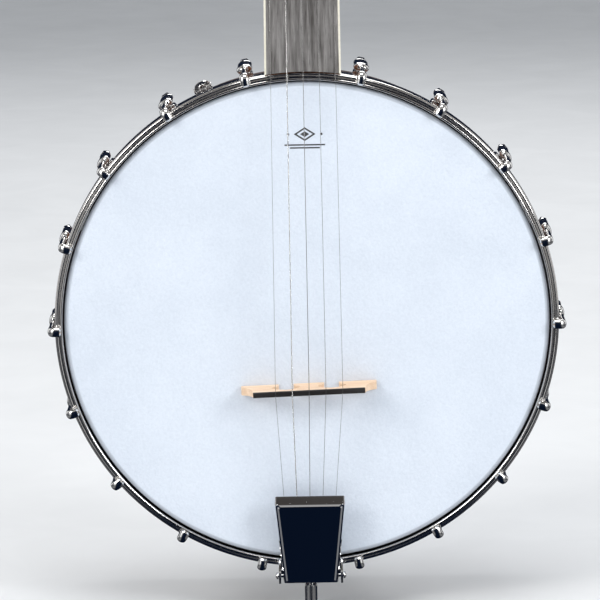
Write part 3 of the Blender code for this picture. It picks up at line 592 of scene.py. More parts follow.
# %% Turning and placing helpers
def lathe(profile, steps=48):
    """Turn a closed profile of (radius, height) about z, with the distance round and along it as a UV map."""
    bm = bmesh.new()
    layer = bm.loops.layers.uv.new("UVMap")
    rings, run, reach = [], [0.0], max(p[0] for p in profile)
    for k, (radius, height) in enumerate(profile):
        if k:
            run.append(run[-1] + math.dist(profile[k - 1], profile[k]))
        if radius < 1e-7:
            rings.append([bm.verts.new((0, 0, height))] * steps)
        else:
            rings.append([
                bm.verts.new((radius * math.cos(a), radius * math.sin(a), height))
                for a in (2 * math.pi * k / steps for k in range(steps))
            ])
    for row in range(len(rings)):
        low, high = rings[row], rings[(row + 1) % len(rings)]
        ends = (run[row], run[row] + math.dist(profile[row], profile[(row + 1) % len(profile)]))
        for k in range(steps):
            n = (k + 1) % steps
            corners = ((low[k], k, 0), (low[n], k + 1, 0), (high[n], k + 1, 1), (high[k], k, 1))
            kept = list({corner[0]: corner for corner in corners}.values())
            if len(kept) < 3:
                continue
            face = bm.faces.new([corner[0] for corner in kept])
            for loop, (_, along, level) in zip(face.loops, kept):
                loop[layer].uv = (2 * math.pi * reach * along / steps, ends[level])
    return bm


def tube(path, radius, sides=12):
    """A round rod along 3-D points; radius is one number or one for each point. UV: round it, along it."""
    points = [Vector(p) for p in path]
    radii = radius if isinstance(radius, (list, tuple)) else [radius] * len(points)
    bm = bmesh.new()
    layer = bm.loops.layers.uv.new("UVMap")
    across, rings, run = None, [], [0.0]
    for k, here in enumerate(points):
        along = (points[min(k + 1, len(points) - 1)] - points[max(k - 1, 0)]).normalized()
        if across is None:
            across = along.orthogonal().normalized()
        across = (across - along * across.dot(along)).normalized()
        other = along.cross(across)
        rings.append([
            bm.verts.new(here + radii[k] * (math.cos(a) * across + math.sin(a) * other))
            for a in (2 * math.pi * i / sides for i in range(sides))
        ])
        if k:
            run.append(run[-1] + (here - points[k - 1]).length)
    for k, (low, high) in enumerate(zip(rings, rings[1:])):
        for i in range(sides):
            n = (i + 1) % sides
            face = bm.faces.new((low[i], low[n], high[n], high[i]))
            for loop, (u, v) in zip(face.loops, ((i, k), (i + 1, k), (i + 1, k + 1), (i, k + 1))):
                loop[layer].uv = (2 * math.pi * radii[k] * u / sides, run[v])
    bm.faces.new(rings[0][::-1])
    bm.faces.new(rings[-1])
    return bm


def gather(parts):
    """Put several shells into one, each moved by its own matrix."""
    whole = bmesh.new()
    for part, place in parts:
        part.transform(place)
        mesh = bpy.data.meshes.new("part")
        part.to_mesh(mesh)
        part.free()
        whole.from_mesh(mesh)
        bpy.data.meshes.remove(mesh)
    return whole


STILL = "pot_and_neck"
HERE = Matrix.Identity(4)
# Takes an outline drawn in (y, z) and thick along x to its place
SIDEWAYS = Matrix(((0, 0, 1, 0), (1, 0, 0, 0), (0, 1, 0, 0), (0, 0, 0, 1)))


def plain_mesh(name, bm, material, place=HERE, sharp=35):
    bm.transform(place)
    bmesh.ops.recalc_face_normals(bm, faces=bm.faces)
    mesh = bpy.data.meshes.new(name)
    bm.to_mesh(mesh)
    bm.free()
    for made in material if isinstance(material, list) else [material]:
        mesh.materials.append(made)
    mesh.shade_smooth()
    mesh.set_sharp_from_angle(angle=math.radians(sharp))
    return mesh


def put_on(name, mesh, body, stands_for=()):
    """Make the mesh a piece of the banjo that rides on a body."""
    obj = link(name, mesh)
    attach(obj, body)
    if stands_for:
        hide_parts(*stands_for)
    print(f"  {name}: {len(mesh.polygons)} faces on {body}")


def piece(name, bm, material, body=STILL, stands_for=(), place=HERE, sharp=35):
    put_on(name, plain_mesh(name, bm, material, place, sharp), body, stands_for)


# %% [markdown]
# ## Growing pieces with Geometry Nodes
# Copies round an axis are the banjo's commonest pattern: hooks, rim bolts, knurls and screw slots. One tree
# makes them all. It lays points in a row, turns one copy of a pattern object about z for each point, and can
# mirror the set to the other side. Every tree ends in the same three steps, so `close_tree` adds those.

# %% The turned copies tree
PLACING = (("Place", "Vector", None), ("Turn", "Vector", None), ("Finish", "Material", None))


def close_tree(tree, given, result, geometry):
    """End a tree: move its shapes to their place, make them real, and give them their finish."""
    placed = put(tree, "GeometryNodeTransform", {
        "Geometry": geometry, "Translation": given["Place"],
        "Rotation": put(tree, "FunctionNodeEulerToRotation", {0: given["Turn"]})})
    real = put(tree, "GeometryNodeRealizeInstances", {0: placed})
    finished = put(tree, "GeometryNodeSetMaterial", {"Geometry": real, "Material": given["Finish"]})
    join(tree, result, {"Geometry": finished})
    print(f"{tree.name} tree: {len(tree.nodes)} nodes")


turned_copies, given, result = group("turned copies", "GeometryNodeTree", (
    ("Pattern", "Object", None), ("Copies", "Int", 9), ("First Angle", "Float", 0.0), ("Step", "Float", 0.3),
    ("Both Sides", "Bool", False), *PLACING,
), (("Geometry", "Geometry"),))
pattern = put(turned_copies, "GeometryNodeObjectInfo", {"Object": given["Pattern"]}, "Geometry")
row = put(turned_copies, "GeometryNodeMeshLine", {"Count": given["Copies"], "Offset": (0.0, 0.0, 0.0)})
index = put(turned_copies, "GeometryNodeInputIndex")
angle = maths(turned_copies, "MULTIPLY_ADD", index, given["Step"], given["First Angle"])
joined = turned_copies.nodes.new("GeometryNodeJoinGeometry")
for sign, chosen in ((-1.0, {}), (1.0, {"Selection": given["Both Sides"]})):
    spun = put(turned_copies, "ShaderNodeCombineXYZ", {2: maths(turned_copies, "MULTIPLY", angle, sign)})
    copies = put(turned_copies, "GeometryNodeInstanceOnPoints", {
        "Points": row, "Instance": pattern, **chosen,
        "Rotation": put(turned_copies, "FunctionNodeEulerToRotation", {0: spun})})
    turned_copies.links.new(copies, joined.inputs[0])
close_tree(turned_copies, given, result, joined.outputs[0])

# %% [markdown]
# A tree runs as a modifier on an empty mesh. `grown_mesh` fills its inputs before the first evaluation, keeps
# what it makes as a plain mesh and drops the modifier, and `grow` makes a piece of that mesh. `knurl` grows the
# small ridges that let fingers grip a round knob.

# %% Running a tree
def grown_mesh(name, tree, values):
    """Run a tree on an empty mesh and keep what it makes as a plain mesh."""
    holder = link(name, bpy.data.meshes.new(name))
    modifier = holder.modifiers.new(tree.name, "NODES")
    modifier.node_group = tree
    for item in tree.interface.items_tree:
        if item.item_type == "SOCKET" and item.in_out == "INPUT" and item.name in values:
            modifier[item.identifier] = values[item.name]
    graph = bpy.context.evaluated_depsgraph_get()
    mesh = bpy.data.meshes.new_from_object(holder.evaluated_get(graph))
    holder.modifiers.remove(modifier)
    bpy.data.objects.remove(holder)
    mesh.name = name
    return mesh


def grow(name, tree, values, material, place, body=STILL, stands_for=()):
    """Grow a piece of one finish, put in its place; a mesh given as its pattern is only lent to the tree."""
    values = {**values, "Place": tuple(place.to_translation()), "Turn": tuple(place.to_euler()), "Finish": material}
    lent = link("pattern", values["Pattern"]) if "Pattern" in values else None
    if lent:
        values["Pattern"] = lent
    mesh = grown_mesh(name, tree, values)
    if lent:
        bpy.data.objects.remove(lent)
    put_on(name, mesh, body, stands_for)


def knurl(name, place, radius, half, count, levels):
    """Small ridges round a knob; levels are (height, how far the ridge stands out)."""
    ridge = skin([[(x, radius + y, z) for x, y in ((-half, 0.0), (half, 0.0), (0.0, h))] for z, h in levels])
    grow(name, turned_copies, {
        "Pattern": plain_mesh("ridge", ridge, bright_plate, sharp=10), "Copies": count, "Step": 2 * math.pi / count,
    }, bright_plate, place)


# %% [markdown]
# A spiral is the banjo's other repeated pattern: the thread on a hook or a bolt, and the turns of string round
# a tuner's post. The tree sweeps a small circle along a spiral and closes its ends.

# %% The spiral tree
spiral, given, result = group("spiral", "GeometryNodeTree", (
    ("Turns", "Float", 5.0), ("Steps", "Int", 16), ("Radius", "Float", 0.003), ("End Radius", "Float", 0.003),
    ("Height", "Float", 0.004), ("Wire Radius", "Float", 0.0002), ("Sides", "Int", 8), *PLACING,
), (("Geometry", "Geometry"),))
line = put(spiral, "GeometryNodeCurveSpiral", {
    "Resolution": given["Steps"], "Rotations": given["Turns"], "Start Radius": given["Radius"],
    "End Radius": given["End Radius"], "Height": given["Height"]})
round_wire = put(spiral, "GeometryNodeCurvePrimitiveCircle", {
    "Resolution": given["Sides"], "Radius": given["Wire Radius"]})
swept = put(spiral, "GeometryNodeCurveToMesh", {"Curve": line, "Profile Curve": round_wire, "Fill Caps": True})
close_tree(spiral, given, result, put(spiral, "GeometryNodeSetShadeSmooth", {0: swept}))

# %% [markdown]
# ## Rim, tone ring and flesh hoop
# The rim is bent from three maple plies, and its edges are eased by hand. The brass tone ring sits on it and
# carries the head, and the aluminium flesh hoop holds the film's edge. All three are turned profiles.

# %% Rim, tone ring, flesh hoop
inner = RIM_RADIUS - RIM_WALL
rim_profile = rounded([
    (inner, 0, 0.0014), (RIM_RADIUS, 0, 0.0014), (RIM_RADIUS, RIM_HEIGHT, 0.0006), (inner, RIM_HEIGHT, 0.0006),
], 0.001)
piece("wood_rim", lathe(rim_profile, 192), rim_wood, stands_for=["rim"], place=POT)
ring_bottom = RIM_HEIGHT + GAP
ring_profile = rounded([
    (0.131, ring_bottom, 0.0003), (0.1396, ring_bottom, 0.0003), (0.1396, 0.0668, 0.0006), (0.1388, 0.068, 0.0006),
    (0.1375, 0.0684, 0.0008), (0.1362, 0.0676, 0.0008), (0.131, 0.064, 0.0003),
], 0.0005)
piece("brass_tone_ring", lathe(ring_profile, 160), ring_brass,
      stands_for=["tone_ring"], place=POT)
flesh_profile = rounded(box_outline(0.1406, 0.1436, 0.0515, 0.056), 0.0004)
piece("alloy_flesh_hoop", lathe(flesh_profile, 160), hoop_alloy,
      stands_for=["flesh_hoop"], place=POT)

# %% [markdown]
# ## The head
# The film is stretched flat, bends over the tone ring's crest and runs down as a collar. The coat's mark, a
# plain lozenge over two bars, is a sheet of ink just above the coat.

# %% Head and its mark
head_profile = [
    (0.0, HEAD_TOP), (0.1364, HEAD_TOP), (0.138, HEAD_TOP - 0.00004), (0.1388, HEAD_TOP - 0.00022),
    (0.1395, HEAD_TOP - 0.0007), (0.14, HEAD_TOP - 0.0014), (0.1404, HEAD_TOP - 0.0024), (0.1405, 0.064),
    (0.1405, 0.0563), (0.1402, 0.0563), (0.1402, 0.064), (0.14, HEAD_TOP - 0.0025), (0.1392, HEAD_TOP - 0.0012),
    (0.138, HEAD_TOP - 0.0005), (0.1364, HEAD_TOP - 0.0004), (0.0, HEAD_TOP - 0.0004),
]
piece("film_head", lathe(head_profile, 224), coated_head, stands_for=["head"], place=POT)
MARK = at(0.0004, 0.11, HEAD_TOP + 0.00002)
lozenge = [(-0.0062, 0.0), (0.0, -0.004), (0.0062, 0.0), (0.0, 0.004)]
hollow = [(-0.0046, 0.0), (0.0, -0.0029), (0.0046, 0.0), (0.0, 0.0029)]
mark_parts = []
for k in range(4):
    n = (k + 1) % 4
    mark_parts.append((slab([lozenge[k], lozenge[n], hollow[n], hollow[k]], 0, 0.00006, 0.00001), HERE))
mark_parts.append((slab([(x * 0.42, y * 0.42) for x, y in lozenge], 0, 0.00006, 0.00001), HERE))
for low, half in ((-0.0066, 0.0116), (-0.0083, 0.0086)):
    mark_parts.append((slab(box_outline(-half, half, low, low + 0.0008), 0, 0.00006, 0.00001), HERE))
for side in (-1, 1):
    mark_parts.append((slab(rounded(box_outline(side * 0.0095 - 0.0007, side * 0.0095 + 0.0007, -0.0007, 0.0007),
                                    0.0006), 0, 0.00006, 0.00001), HERE))
piece("head_mark", gather(mark_parts), ink, place=POT @ MARK)

# %% [markdown]
# ## The tension hoop
# The hoop is a rolled section: a thin raised bead beside the head, and outside it a lower groove and shelf
# that the hooks pull down on. The groove is what makes it read as several lines of light.

# %% Tension hoop
INNER, OUTER = 0.1411, HOOP_OUTER - 0.0005
hoop_profile = rounded([
    (INNER, 0.0563, 0.0003), (OUTER, 0.0563, 0.0005), (OUTER, 0.068, 0.0012), (0.1448, 0.0695, 0.0014),
    (0.1436, 0.0691, 0.0008), (0.1431, 0.0686, 0.0003), (0.1427, 0.0698, 0.0004), (0.1426, 0.0708, 0.0004),
    (0.142, 0.0712, 0.0004), (0.1413, 0.0708, 0.0004), (INNER, 0.07, 0.0006),
], 0.0004)
piece("tension_ring", lathe(hoop_profile, 256), hoop_plate,
      stands_for=["tension_hoop"], place=POT)

# %% [markdown]
# ## Hooks, shoes and nuts
# Eighteen round hooks pull the hoop down. Each goes over the hoop's shelf, down through a cast shoe bolted to
# the rim, and ends in a thread with a long hexagonal nut. One bracket is modelled upright at twelve o'clock,
# and the turned copies tree sets nine down each side, leaving wider gaps at the neck and the tailpiece.

# %% One bracket
HOOK_ROD, HOOK_RADIUS = 0.0018, 0.148
SHOE_HALF, SHOE_DEPTH, SHOE_BOTTOM, SHOE_TOP = 0.0046, 0.0029, 0.0185, 0.0435
hook_line = [(0, HOOK_RADIUS, z) for z in (0.0086, 0.02, 0.042, 0.06, 0.0675)]
bend = Vector((0, HOOK_RADIUS - 0.0026, 0.0704))
for k in range(9):
    turn = math.radians(12 * k)
    hook_line.append((0, bend.y + 0.0026 * math.cos(turn), bend.z + 0.0026 * math.sin(turn)))
tip = Vector(hook_line[-1])
hook_line += [tip + Vector((0, -0.0022, -0.0001)), tip + Vector((0, -0.003, -0.0003))]
hook_radii = [HOOK_ROD * 0.86, HOOK_ROD * 0.86] + [HOOK_ROD] * (len(hook_line) - 4) + [HOOK_ROD * 0.97, HOOK_ROD * 0.6]
hook = tube(hook_line, hook_radii, 16)
for v in hook.verts:
    v.co.x *= 1 + 0.5 * min(max((v.co.z - 0.064) / 0.005, 0.0), 1.0)
UP = at(0, HOOK_RADIUS, 0)
shoe_profile = rounded([
    (SHOE_HALF * 0.86, SHOE_BOTTOM), (SHOE_HALF * 0.94, SHOE_BOTTOM + 0.0012), (SHOE_HALF * 0.86, SHOE_BOTTOM + 0.0022),
    (SHOE_HALF * 0.9, SHOE_TOP - 0.0085), (SHOE_HALF, SHOE_TOP - 0.0066), (SHOE_HALF, SHOE_TOP - 0.0032),
    (SHOE_HALF * 0.86, SHOE_TOP - 0.0014), (SHOE_HALF * 0.58, SHOE_TOP - 0.0003), (HOOK_ROD + 0.0002, SHOE_TOP),
], 0.0006, 2)
shoe = lathe([(0.0, SHOE_BOTTOM)] + shoe_profile + [(0.0, SHOE_TOP - 0.0004)], 24)
for v in shoe.verts:
    v.co.y *= SHOE_DEPTH / SHOE_HALF
foot_outline = rounded([
    (RIM_RADIUS + GAP, 0.0205), (RIM_RADIUS + 0.0016, 0.0205), (RIM_RADIUS + 0.0034, 0.025),
    (HOOK_RADIUS - 0.003, 0.0255), (HOOK_RADIUS - 0.003, 0.0365), (RIM_RADIUS + 0.0034, 0.037),
    (RIM_RADIUS + 0.0016, 0.0415), (RIM_RADIUS + GAP, 0.0415),
], 0.0012, 3)
foot = slab(foot_outline, -0.0038, 0.0038, 0.0006)
hex_nut = hexagon(0.0034, 0.003, (
    (0.011, 0.8), (0.0114, 0.97), (0.0122, 1.0), (0.0174, 1.0), (0.0181, 0.97), (0.0184, 0.84)))
thread = bmesh.new()
thread.from_mesh(grown_mesh("hook_thread", spiral, {
    "Turns": 5.0, "Steps": 10, "Radius": HOOK_ROD * 0.84, "End Radius": HOOK_ROD * 0.84, "Height": 0.003,
    "Wire Radius": 0.0003, "Sides": 5, "Place": (0.0, HOOK_RADIUS, 0.0088), "Turn": (0.0, 0.0, 0.0),
    "Finish": bright_plate}))
bracket_mesh = plain_mesh("bracket_pattern", gather([
    (hook, HERE), (shoe, UP), (foot, SIDEWAYS), (hex_nut, UP), (thread, HERE)]), bright_plate)
print("one bracket:", len(bracket_mesh.polygons), "faces")

# %% Eighteen brackets
HOOKS = {"Copies": 9, "First Angle": math.radians(13.2), "Step": math.radians(19.45), "Both Sides": True}
grow("hook_set", turned_copies, {"Pattern": bracket_mesh, **HOOKS}, bright_plate, POT,
     stands_for=[f"bracket_{k:02d}" for k in range(1, 19)])

# %% [markdown]
# Inside the rim, each shoe is held by a round-headed screw on a washer. The same tree repeats one of them.

# %% Shoe screws inside the rim
INWARD = at(0, inner, 0.031) @ Matrix.Rotation(QUARTER, 4, "X")
washer = lathe(rounded([(0.0, 0.0), (0.0046, 0.0), (0.0046, 0.0007), (0.0, 0.0007)], 0.0), 20)
dome = lathe([(0.0, 0.0005), (0.0034, 0.0005), (0.0034, 0.0012), (0.0031, 0.0019), (0.0024, 0.0025),
              (0.0014, 0.0028), (0.0, 0.0029)], 20)
screw_parts = [(washer, INWARD), (dome, INWARD)]
for turn in (0, QUARTER):
    bar = slab(rounded(box_outline(-0.0019, 0.0019, -0.00035, 0.00035), 0.0002, 1), 0.0024, 0.003, 0.0001)
    screw_parts.append((bar, INWARD @ Matrix.Rotation(turn, 4, "Z")))
shoe_screw = plain_mesh("shoe_screw", gather(screw_parts), bright_plate)
grow("shoe_screws", turned_copies, {"Pattern": shoe_screw, **HOOKS}, bright_plate, POT)

# %% [markdown]
# ## The strap bracket
# A folded clip between the first two hooks on the bass side. Its ear stands out from the rim with a hole for
# a lace, and its side lips are turned up, which is why its outline catches the light.

# %% Strap bracket
CLIP = POT @ Matrix.Rotation(math.radians(23.5), 4, "Z")
edge_in = RIM_RADIUS + GAP
back_plate = slab(rounded(box_outline(-0.0055, 0.0055, 0.021, 0.0388), 0.001, 3), 0, 0.0014, 0.0003)
ear_outline = rounded([
    (-0.0055, 0.0), (0.0055, 0.0), (0.005, 0.007, 0.003), (0.003, 0.0094, 0.002), (-0.003, 0.0094, 0.002),
    (-0.005, 0.007, 0.003),
], 0.0003, 4)
clip_parts = [
    (back_plate, Matrix(((1, 0, 0, 0), (0, 0, 1, edge_in), (0, 1, 0, 0), (0, 0, 0, 1)))),
    (slab(ear_outline, 0.0376, 0.0389, 0.0003), at(0, edge_in, 0)),
]
for side in (-1, 1):
    lip = slab(rounded([(edge_in + 0.001, 0.038), (edge_in + 0.0072, 0.038), (edge_in + 0.006, 0.0404),
                        (edge_in + 0.001, 0.041)], 0.0006, 3), -0.0004, 0.0004, 0.00015)
    clip_parts.append((lip, at(side * 0.005, 0, 0) @ SIDEWAYS))
eyelet = lathe(rounded(box_outline(0.0016, 0.0026, 0.0374, 0.0394), 0.0004, 3), 24)
clip_parts.append((eyelet, at(0, edge_in + 0.0052, 0)))
piece("strap_clip", gather(clip_parts), bright_plate, stands_for=["strap_bracket"], place=CLIP)

# %% [markdown]
# ## The bridge
# Three feet and two mushroom-shaped arches are sawn from one slip of maple, which thins towards the top, and a
# strip of ebony is glued on to carry the strings. A smooth outline drawn with splines would lose the pointed
# toes of the feet, so only the arches' crowns are eased.

# %% Bridge body
BRIDGE_SLANT = math.radians(1.85)
BRIDGE = POT @ at(0.0006, BRIDGE_Y, HEAD_TOP + GAP) @ Matrix.Rotation(BRIDGE_SLANT, 4, "Z")
BRIDGE_HEIGHT, CAP_HALF = 0.016, 0.0323
cap_bottom = BRIDGE_HEIGHT - 0.0021


def bridge_thickness(z):
    return 0.0026 + (0.0015 - 0.0026) * z / BRIDGE_HEIGHT


half = [
    (0.009, 0.0, 0.0005), (0.0087, 0.0036, 0.001), (0.0052, 0.0056, 0.0012), (0.0046, 0.0078, 0.0012),
    (0.007, 0.0098, 0.002), (0.0131, 0.0124, 0.0045), (0.0192, 0.0098, 0.002), (0.0218, 0.0078, 0.0012),
    (0.0211, 0.0056, 0.0012), (0.0176, 0.0036, 0.001), (0.0173, 0.0, 0.0005), (0.03925, 0.0, 0.0006),
    (0.03925, 0.0024, 0.001), (0.0358, 0.005, 0.0024), (0.0334, 0.009, 0.003), (0.0325, cap_bottom, 0.0005),
]
bridge_outline = rounded(half + [(-x, z, r) for x, z, r in reversed(half)], 0.0, 5)
levels = ((-1, 0.00015), (-0.92, 0.0), (0.92, 0.0), (1, 0.00015))
bridge_body = skin([[
    (p.x, share * bridge_thickness(p.y), max(p.y, 0.0)) for p in inset(bridge_outline, d)
] for share, d in levels])
piece("bridge_body", bridge_body, bridge_maple, stands_for=["bridge"], place=BRIDGE, sharp=18)

# %% [markdown]
# The ebony cap is a thin strip with a rounded top. Each string lies in a shallow notch, which would be hidden
# under the string, so the notches are not modelled.

# %% Bridge cap
cap_section = rounded([(-0.0016, cap_bottom + GAP), (0.0016, cap_bottom + GAP), (0.0016, BRIDGE_HEIGHT - GAP),
                       (-0.0016, BRIDGE_HEIGHT - GAP)], 0.0004, 3)
cap_ends = ((-CAP_HALF, 0.0002), (-CAP_HALF + 0.0003, 0.0), (CAP_HALF - 0.0003, 0.0), (CAP_HALF, 0.0002))
cap = skin([[(x, p.x, p.y) for p in inset(cap_section, d)] for x, d in cap_ends])
piece("ebony_cap", cap, ebony, stands_for=["bridge_cap"], place=BRIDGE)

# %% [markdown]
# ## The tailpiece
# A clamshell tailpiece has a plated lid that hides the string ends and lifts on a hinge pin. The lid is
# pressed from sheet: a flat top, a narrow bevel round it, short sides, and a nose that slants down towards
# the bridge. It is built as rings, from the inside of the hollow, round the lower lip, up to the top.

# %% Lid
LID_FRONT, LID_REAR = -0.105, -0.1518


def lid_half_width(y):
    return 0.0206 + (0.0157 - 0.0206) * (y - LID_FRONT) / (LID_REAR - LID_FRONT)


def lid_ring(z, side_in, front, rear_in):
    y_front, y_rear = LID_FRONT + front, LID_REAR + rear_in
    corners = [
        (lid_half_width(min(y_front, LID_FRONT)) - side_in, y_front, 0.0016),
        (-lid_half_width(min(y_front, LID_FRONT)) + side_in, y_front, 0.0016),
        (-lid_half_width(y_rear) + side_in, y_rear, 0.001), (lid_half_width(y_rear) - side_in, y_rear, 0.001),
    ]
    ring = rounded(corners, 0.001, 6)
    return [(p.x, p.y, max(z, 0.0794) if p.y > LID_FRONT - 0.003 else z) for p in ring]


lid = skin([
    lid_ring(0.082, 0.0026, -0.0024, 0.0026), lid_ring(0.0816, 0.0014, -0.0006, 0.0014),
    lid_ring(0.0786, 0.0009, 0.0033, 0.0009), lid_ring(0.0785, 0.0002, 0.0043, 0.0002),
    lid_ring(0.0788, 0.0, 0.0045, 0.0), lid_ring(0.082, 0.0, 0.0011, 0.0), lid_ring(0.0829, 0.0005, 0.0003, 0.0005),
    lid_ring(0.083, 0.0014, 0.0002, 0.001), lid_ring(0.0835, 0.0024, -0.0008, 0.0016),
])
piece("tailpiece_lid", lid, mirror_plate, body="tail_cover", stands_for=["tailpiece_cover"],
      place=POT, sharp=18)

# %% [markdown]
# Under the lid are a base plate with five small posts for the strings' loops, two ears that carry the hinge
# pin, and a wall that goes down behind the hoop. A knurled screw through that wall sets the tailpiece's pull.

# %% Base, ears and posts
ON_BASE = HOOP_TOP + GAP
BASE_TOP = ON_BASE + 0.0012
base_parts = [
    (slab(rounded([(-0.015, -0.1125, 0.003), (-0.015, -0.139, 0.001), (-0.0187, -0.139, 0.001),
                   (-0.0187, -0.1486, 0.001), (0.0187, -0.1486, 0.001), (0.0187, -0.139, 0.001),
                   (0.015, -0.139, 0.001), (0.015, -0.1125, 0.003)], 0.001, 4), ON_BASE, BASE_TOP), HERE),
    (slab(rounded([(-0.009, 0.056, 0.002), (0.009, 0.056, 0.002), (0.009, BASE_TOP - 0.0003, 0.0006),
                   (-0.009, BASE_TOP - 0.0003, 0.0006)], 0.001, 4), 0, 0.0016),
     Matrix(((1, 0, 0, 0), (0, 0, 1, -0.1486), (0, 1, 0, 0), (0, 0, 0, 1)))),
]
ear = rounded([(-0.1525, 0.077, 0.0008), (-0.1485, ON_BASE, 0.0004), (-0.139, ON_BASE, 0.0004),
               (-0.139, 0.077, 0.0012), (-0.1455, 0.083, 0.002), (-0.15, 0.083, 0.0016),
               (-0.1525, 0.0815, 0.0012)], 0.001, 4)
for side in (-1, 1):
    base_parts.append((slab(ear, side * 0.01805 - 0.00065, side * 0.01805 + 0.00065, 0.00025), SIDEWAYS))
AT_TAIL = (0.0137, 0.00685, 0.0, -0.00685, -0.0137)
for x in AT_TAIL:
    post = lathe([(0.0, BASE_TOP - 0.0002), (0.001, BASE_TOP - 0.0002), (0.0008, BASE_TOP + 0.0004),
                  (0.0008, BASE_TOP + 0.0017), (0.0011, BASE_TOP + 0.002), (0.0008, BASE_TOP + 0.0024),
                  (0.0, BASE_TOP + 0.0025)], 16)
    base_parts.append((post, at(x, -0.1245, 0)))
piece("tailpiece_plate", gather(base_parts), bright_plate, stands_for=["tailpiece_base"], place=POT)

# %% Hinge pin and hanger
HINGE = at(0, -0.1477, 0.0805) @ Matrix.Rotation(QUARTER, 4, "Y")
pin = lathe([(0.0, -0.0206), (0.001, -0.0205), (0.0017, -0.02), (0.002, -0.0192), (0.002, -0.019),
             (0.001, -0.019), (0.001, 0.019), (0.002, 0.019), (0.002, 0.0192), (0.0017, 0.02),
             (0.001, 0.0205), (0.0, 0.0206)], 24)
piece("hinge_pin", pin, bright_plate, stands_for=["tailpiece_hinge_pin"], place=POT @ HINGE)
hanger = slab(rounded([(-0.007, 0.022, 0.004), (0.007, 0.022, 0.004), (0.007, 0.064, 0.003),
                       (0.0045, 0.069, 0.002), (-0.0045, 0.069, 0.002), (-0.007, 0.064, 0.003)], 0.001, 5),
              0, 0.0016, 0.0003)
piece("tailpiece_hanger", hanger, bright_plate, stands_for=["tailpiece_bracket"],
      place=POT @ Matrix(((1, 0, 0, 0), (0, 0, 1, -0.1505), (0, 1, 0, 0), (0, 0, 0, 1))))

# %% [markdown]
# The screw's knob is knurled so that fingers can grip it. A knurl is one small ridge repeated round the knob
# by the turned copies tree.

# %% Adjusting screw and its knurl
def radial(height, turn=math.pi):
    """The place of a bolt that runs out from the pot's axis: z along it, towards the tail."""
    return POT @ at(0, 0, height) @ Matrix.Rotation(turn, 4, "Z") @ Matrix.Rotation(-QUARTER, 4, "X")


SCREW = radial(0.062)
screw = lathe([(0.0, 0.1467), (0.0018, 0.1467), (0.0018, 0.1572), (0.0024, 0.1576), (0.0034, 0.158),
               (0.0034, 0.1694), (0.0029, 0.17), (0.0016, 0.17025), (0.0, 0.17025)], 32)
piece("tailpiece_knob", screw, bright_plate, stands_for=["tailpiece_screw"], place=SCREW)
knurl("tailpiece_knob_knurl", SCREW, 0.0033, 0.00022, 32, (
    (0.1583, 0.0001), (0.1587, 0.0004), (0.169, 0.0004), (0.1694, 0.0001)))
grow("tailpiece_screw_thread", spiral, {
    "Turns": 16.0, "Steps": 14, "Radius": 0.0017, "End Radius": 0.0017, "Height": 0.0062, "Wire Radius": 0.00028,
    "Sides": 5}, bright_plate, SCREW @ at(0, 0, 0.1508))

# %% [markdown]
# ## Bolts and the coordinator rod
# A turned rod crosses the pot from the tail bolt to the neck. A capped nut outside the rim holds the hanger,
# and a hexagonal nut near the neck draws the heel tight.

# %% Tail bolt
BOLT = radial(0.03)
bolt_parts = [(lathe(rounded([
    (0.0, 0.1225, 0), (0.0046, 0.1225, 0.0012), (0.0048, 0.1262, 0.0003), (0.0, 0.1262, 0)], 0.0), 32), HERE)]
for low, high, reach in ((0.1403, 0.1486, 0.0052), (0.1508, 0.155, 0.0052)):
    bolt_parts.append((lathe([(0.0, low), (reach * 0.9, low), (reach, low + 0.0004), (reach, high - 0.0004),
                              (reach * 0.9, high), (0.0, high)], 6 if low > 0.15 else 32), HERE))
bolt_parts.append((lathe([(0.0, 0.1545), (0.004, 0.1545), (0.0039, 0.1556), (0.0032, 0.1564), (0.0018, 0.1569),
                          (0.0, 0.157)], 32), HERE))
bolt_parts.append((lathe([(0.0, 0.1255), (0.0024, 0.1255), (0.0024, 0.155), (0.0, 0.155)], 24), HERE))
piece("tail_bolt", gather(bolt_parts), bright_plate, stands_for=["end_bolt"], place=BOLT)

# %% Coordinator rod and neck bolt
ROD = radial(0.03, 0.0)
rod_end = RIM_RADIUS - RIM_WALL - 0.0006
rod_profile = rounded([
    (0.0, -0.122, 0), (0.0047, -0.122, 0.0006), (0.0047, -0.113, 0.0004), (0.0041, -0.1122, 0.0006),
    (0.0047, -0.1114, 0.0004), (0.0047, rod_end - 0.033, 0.0004), (0.0042, rod_end - 0.0325, 0.0006),
    (0.0047, rod_end - 0.0318, 0.0004), (0.0047, rod_end, 0.0005), (0.0, rod_end, 0)], 0.0, 3)
rod = lathe(rod_profile, 40)
rod_nut = hexagon(0.007, 0.007, [(rod_end - back, share) for back, share in (
    (0.012, 0.86), (0.0114, 0.97), (0.0108, 1.0), (0.0047, 1.0), (0.0041, 0.97), (0.0035, 0.86))], 2)
rod_washer = lathe([(0.0, rod_end - 0.0036), (0.0076, rod_end - 0.0036), (0.0078, rod_end - 0.0028),
                    (0.0076, rod_end - 0.002), (0.0, rod_end - 0.002)], 36)
piece("cross_rod", gather([(rod, HERE), (rod_nut, HERE), (rod_washer, HERE)]), rod_steel,
      stands_for=["coordinator_rod"], place=ROD)
lag = lathe([(0.0, rod_end - 0.0055), (0.0026, rod_end - 0.0055), (0.0026, 0.163), (0.0016, 0.164), (0.0, 0.164)], 24)
piece("neck_lag_bolt", lag, rod_steel, stands_for=["neck_bolt"], place=ROD)

# %% [markdown]
# ## The neck
# The neck is a loft. A few measured sections say how wide, how deep and how square it is along its length:
# the deep heel at the pot, the slim shaft, and the flared headstock. Smooth curves through those stations give
# the sections in between. The heel's end is then cut to fit the pot's curve by a Boolean.

# %% Widths along the board
STEP_START, STEP_END = fret_y(5) + 0.0055, fret_y(5) + 0.0125


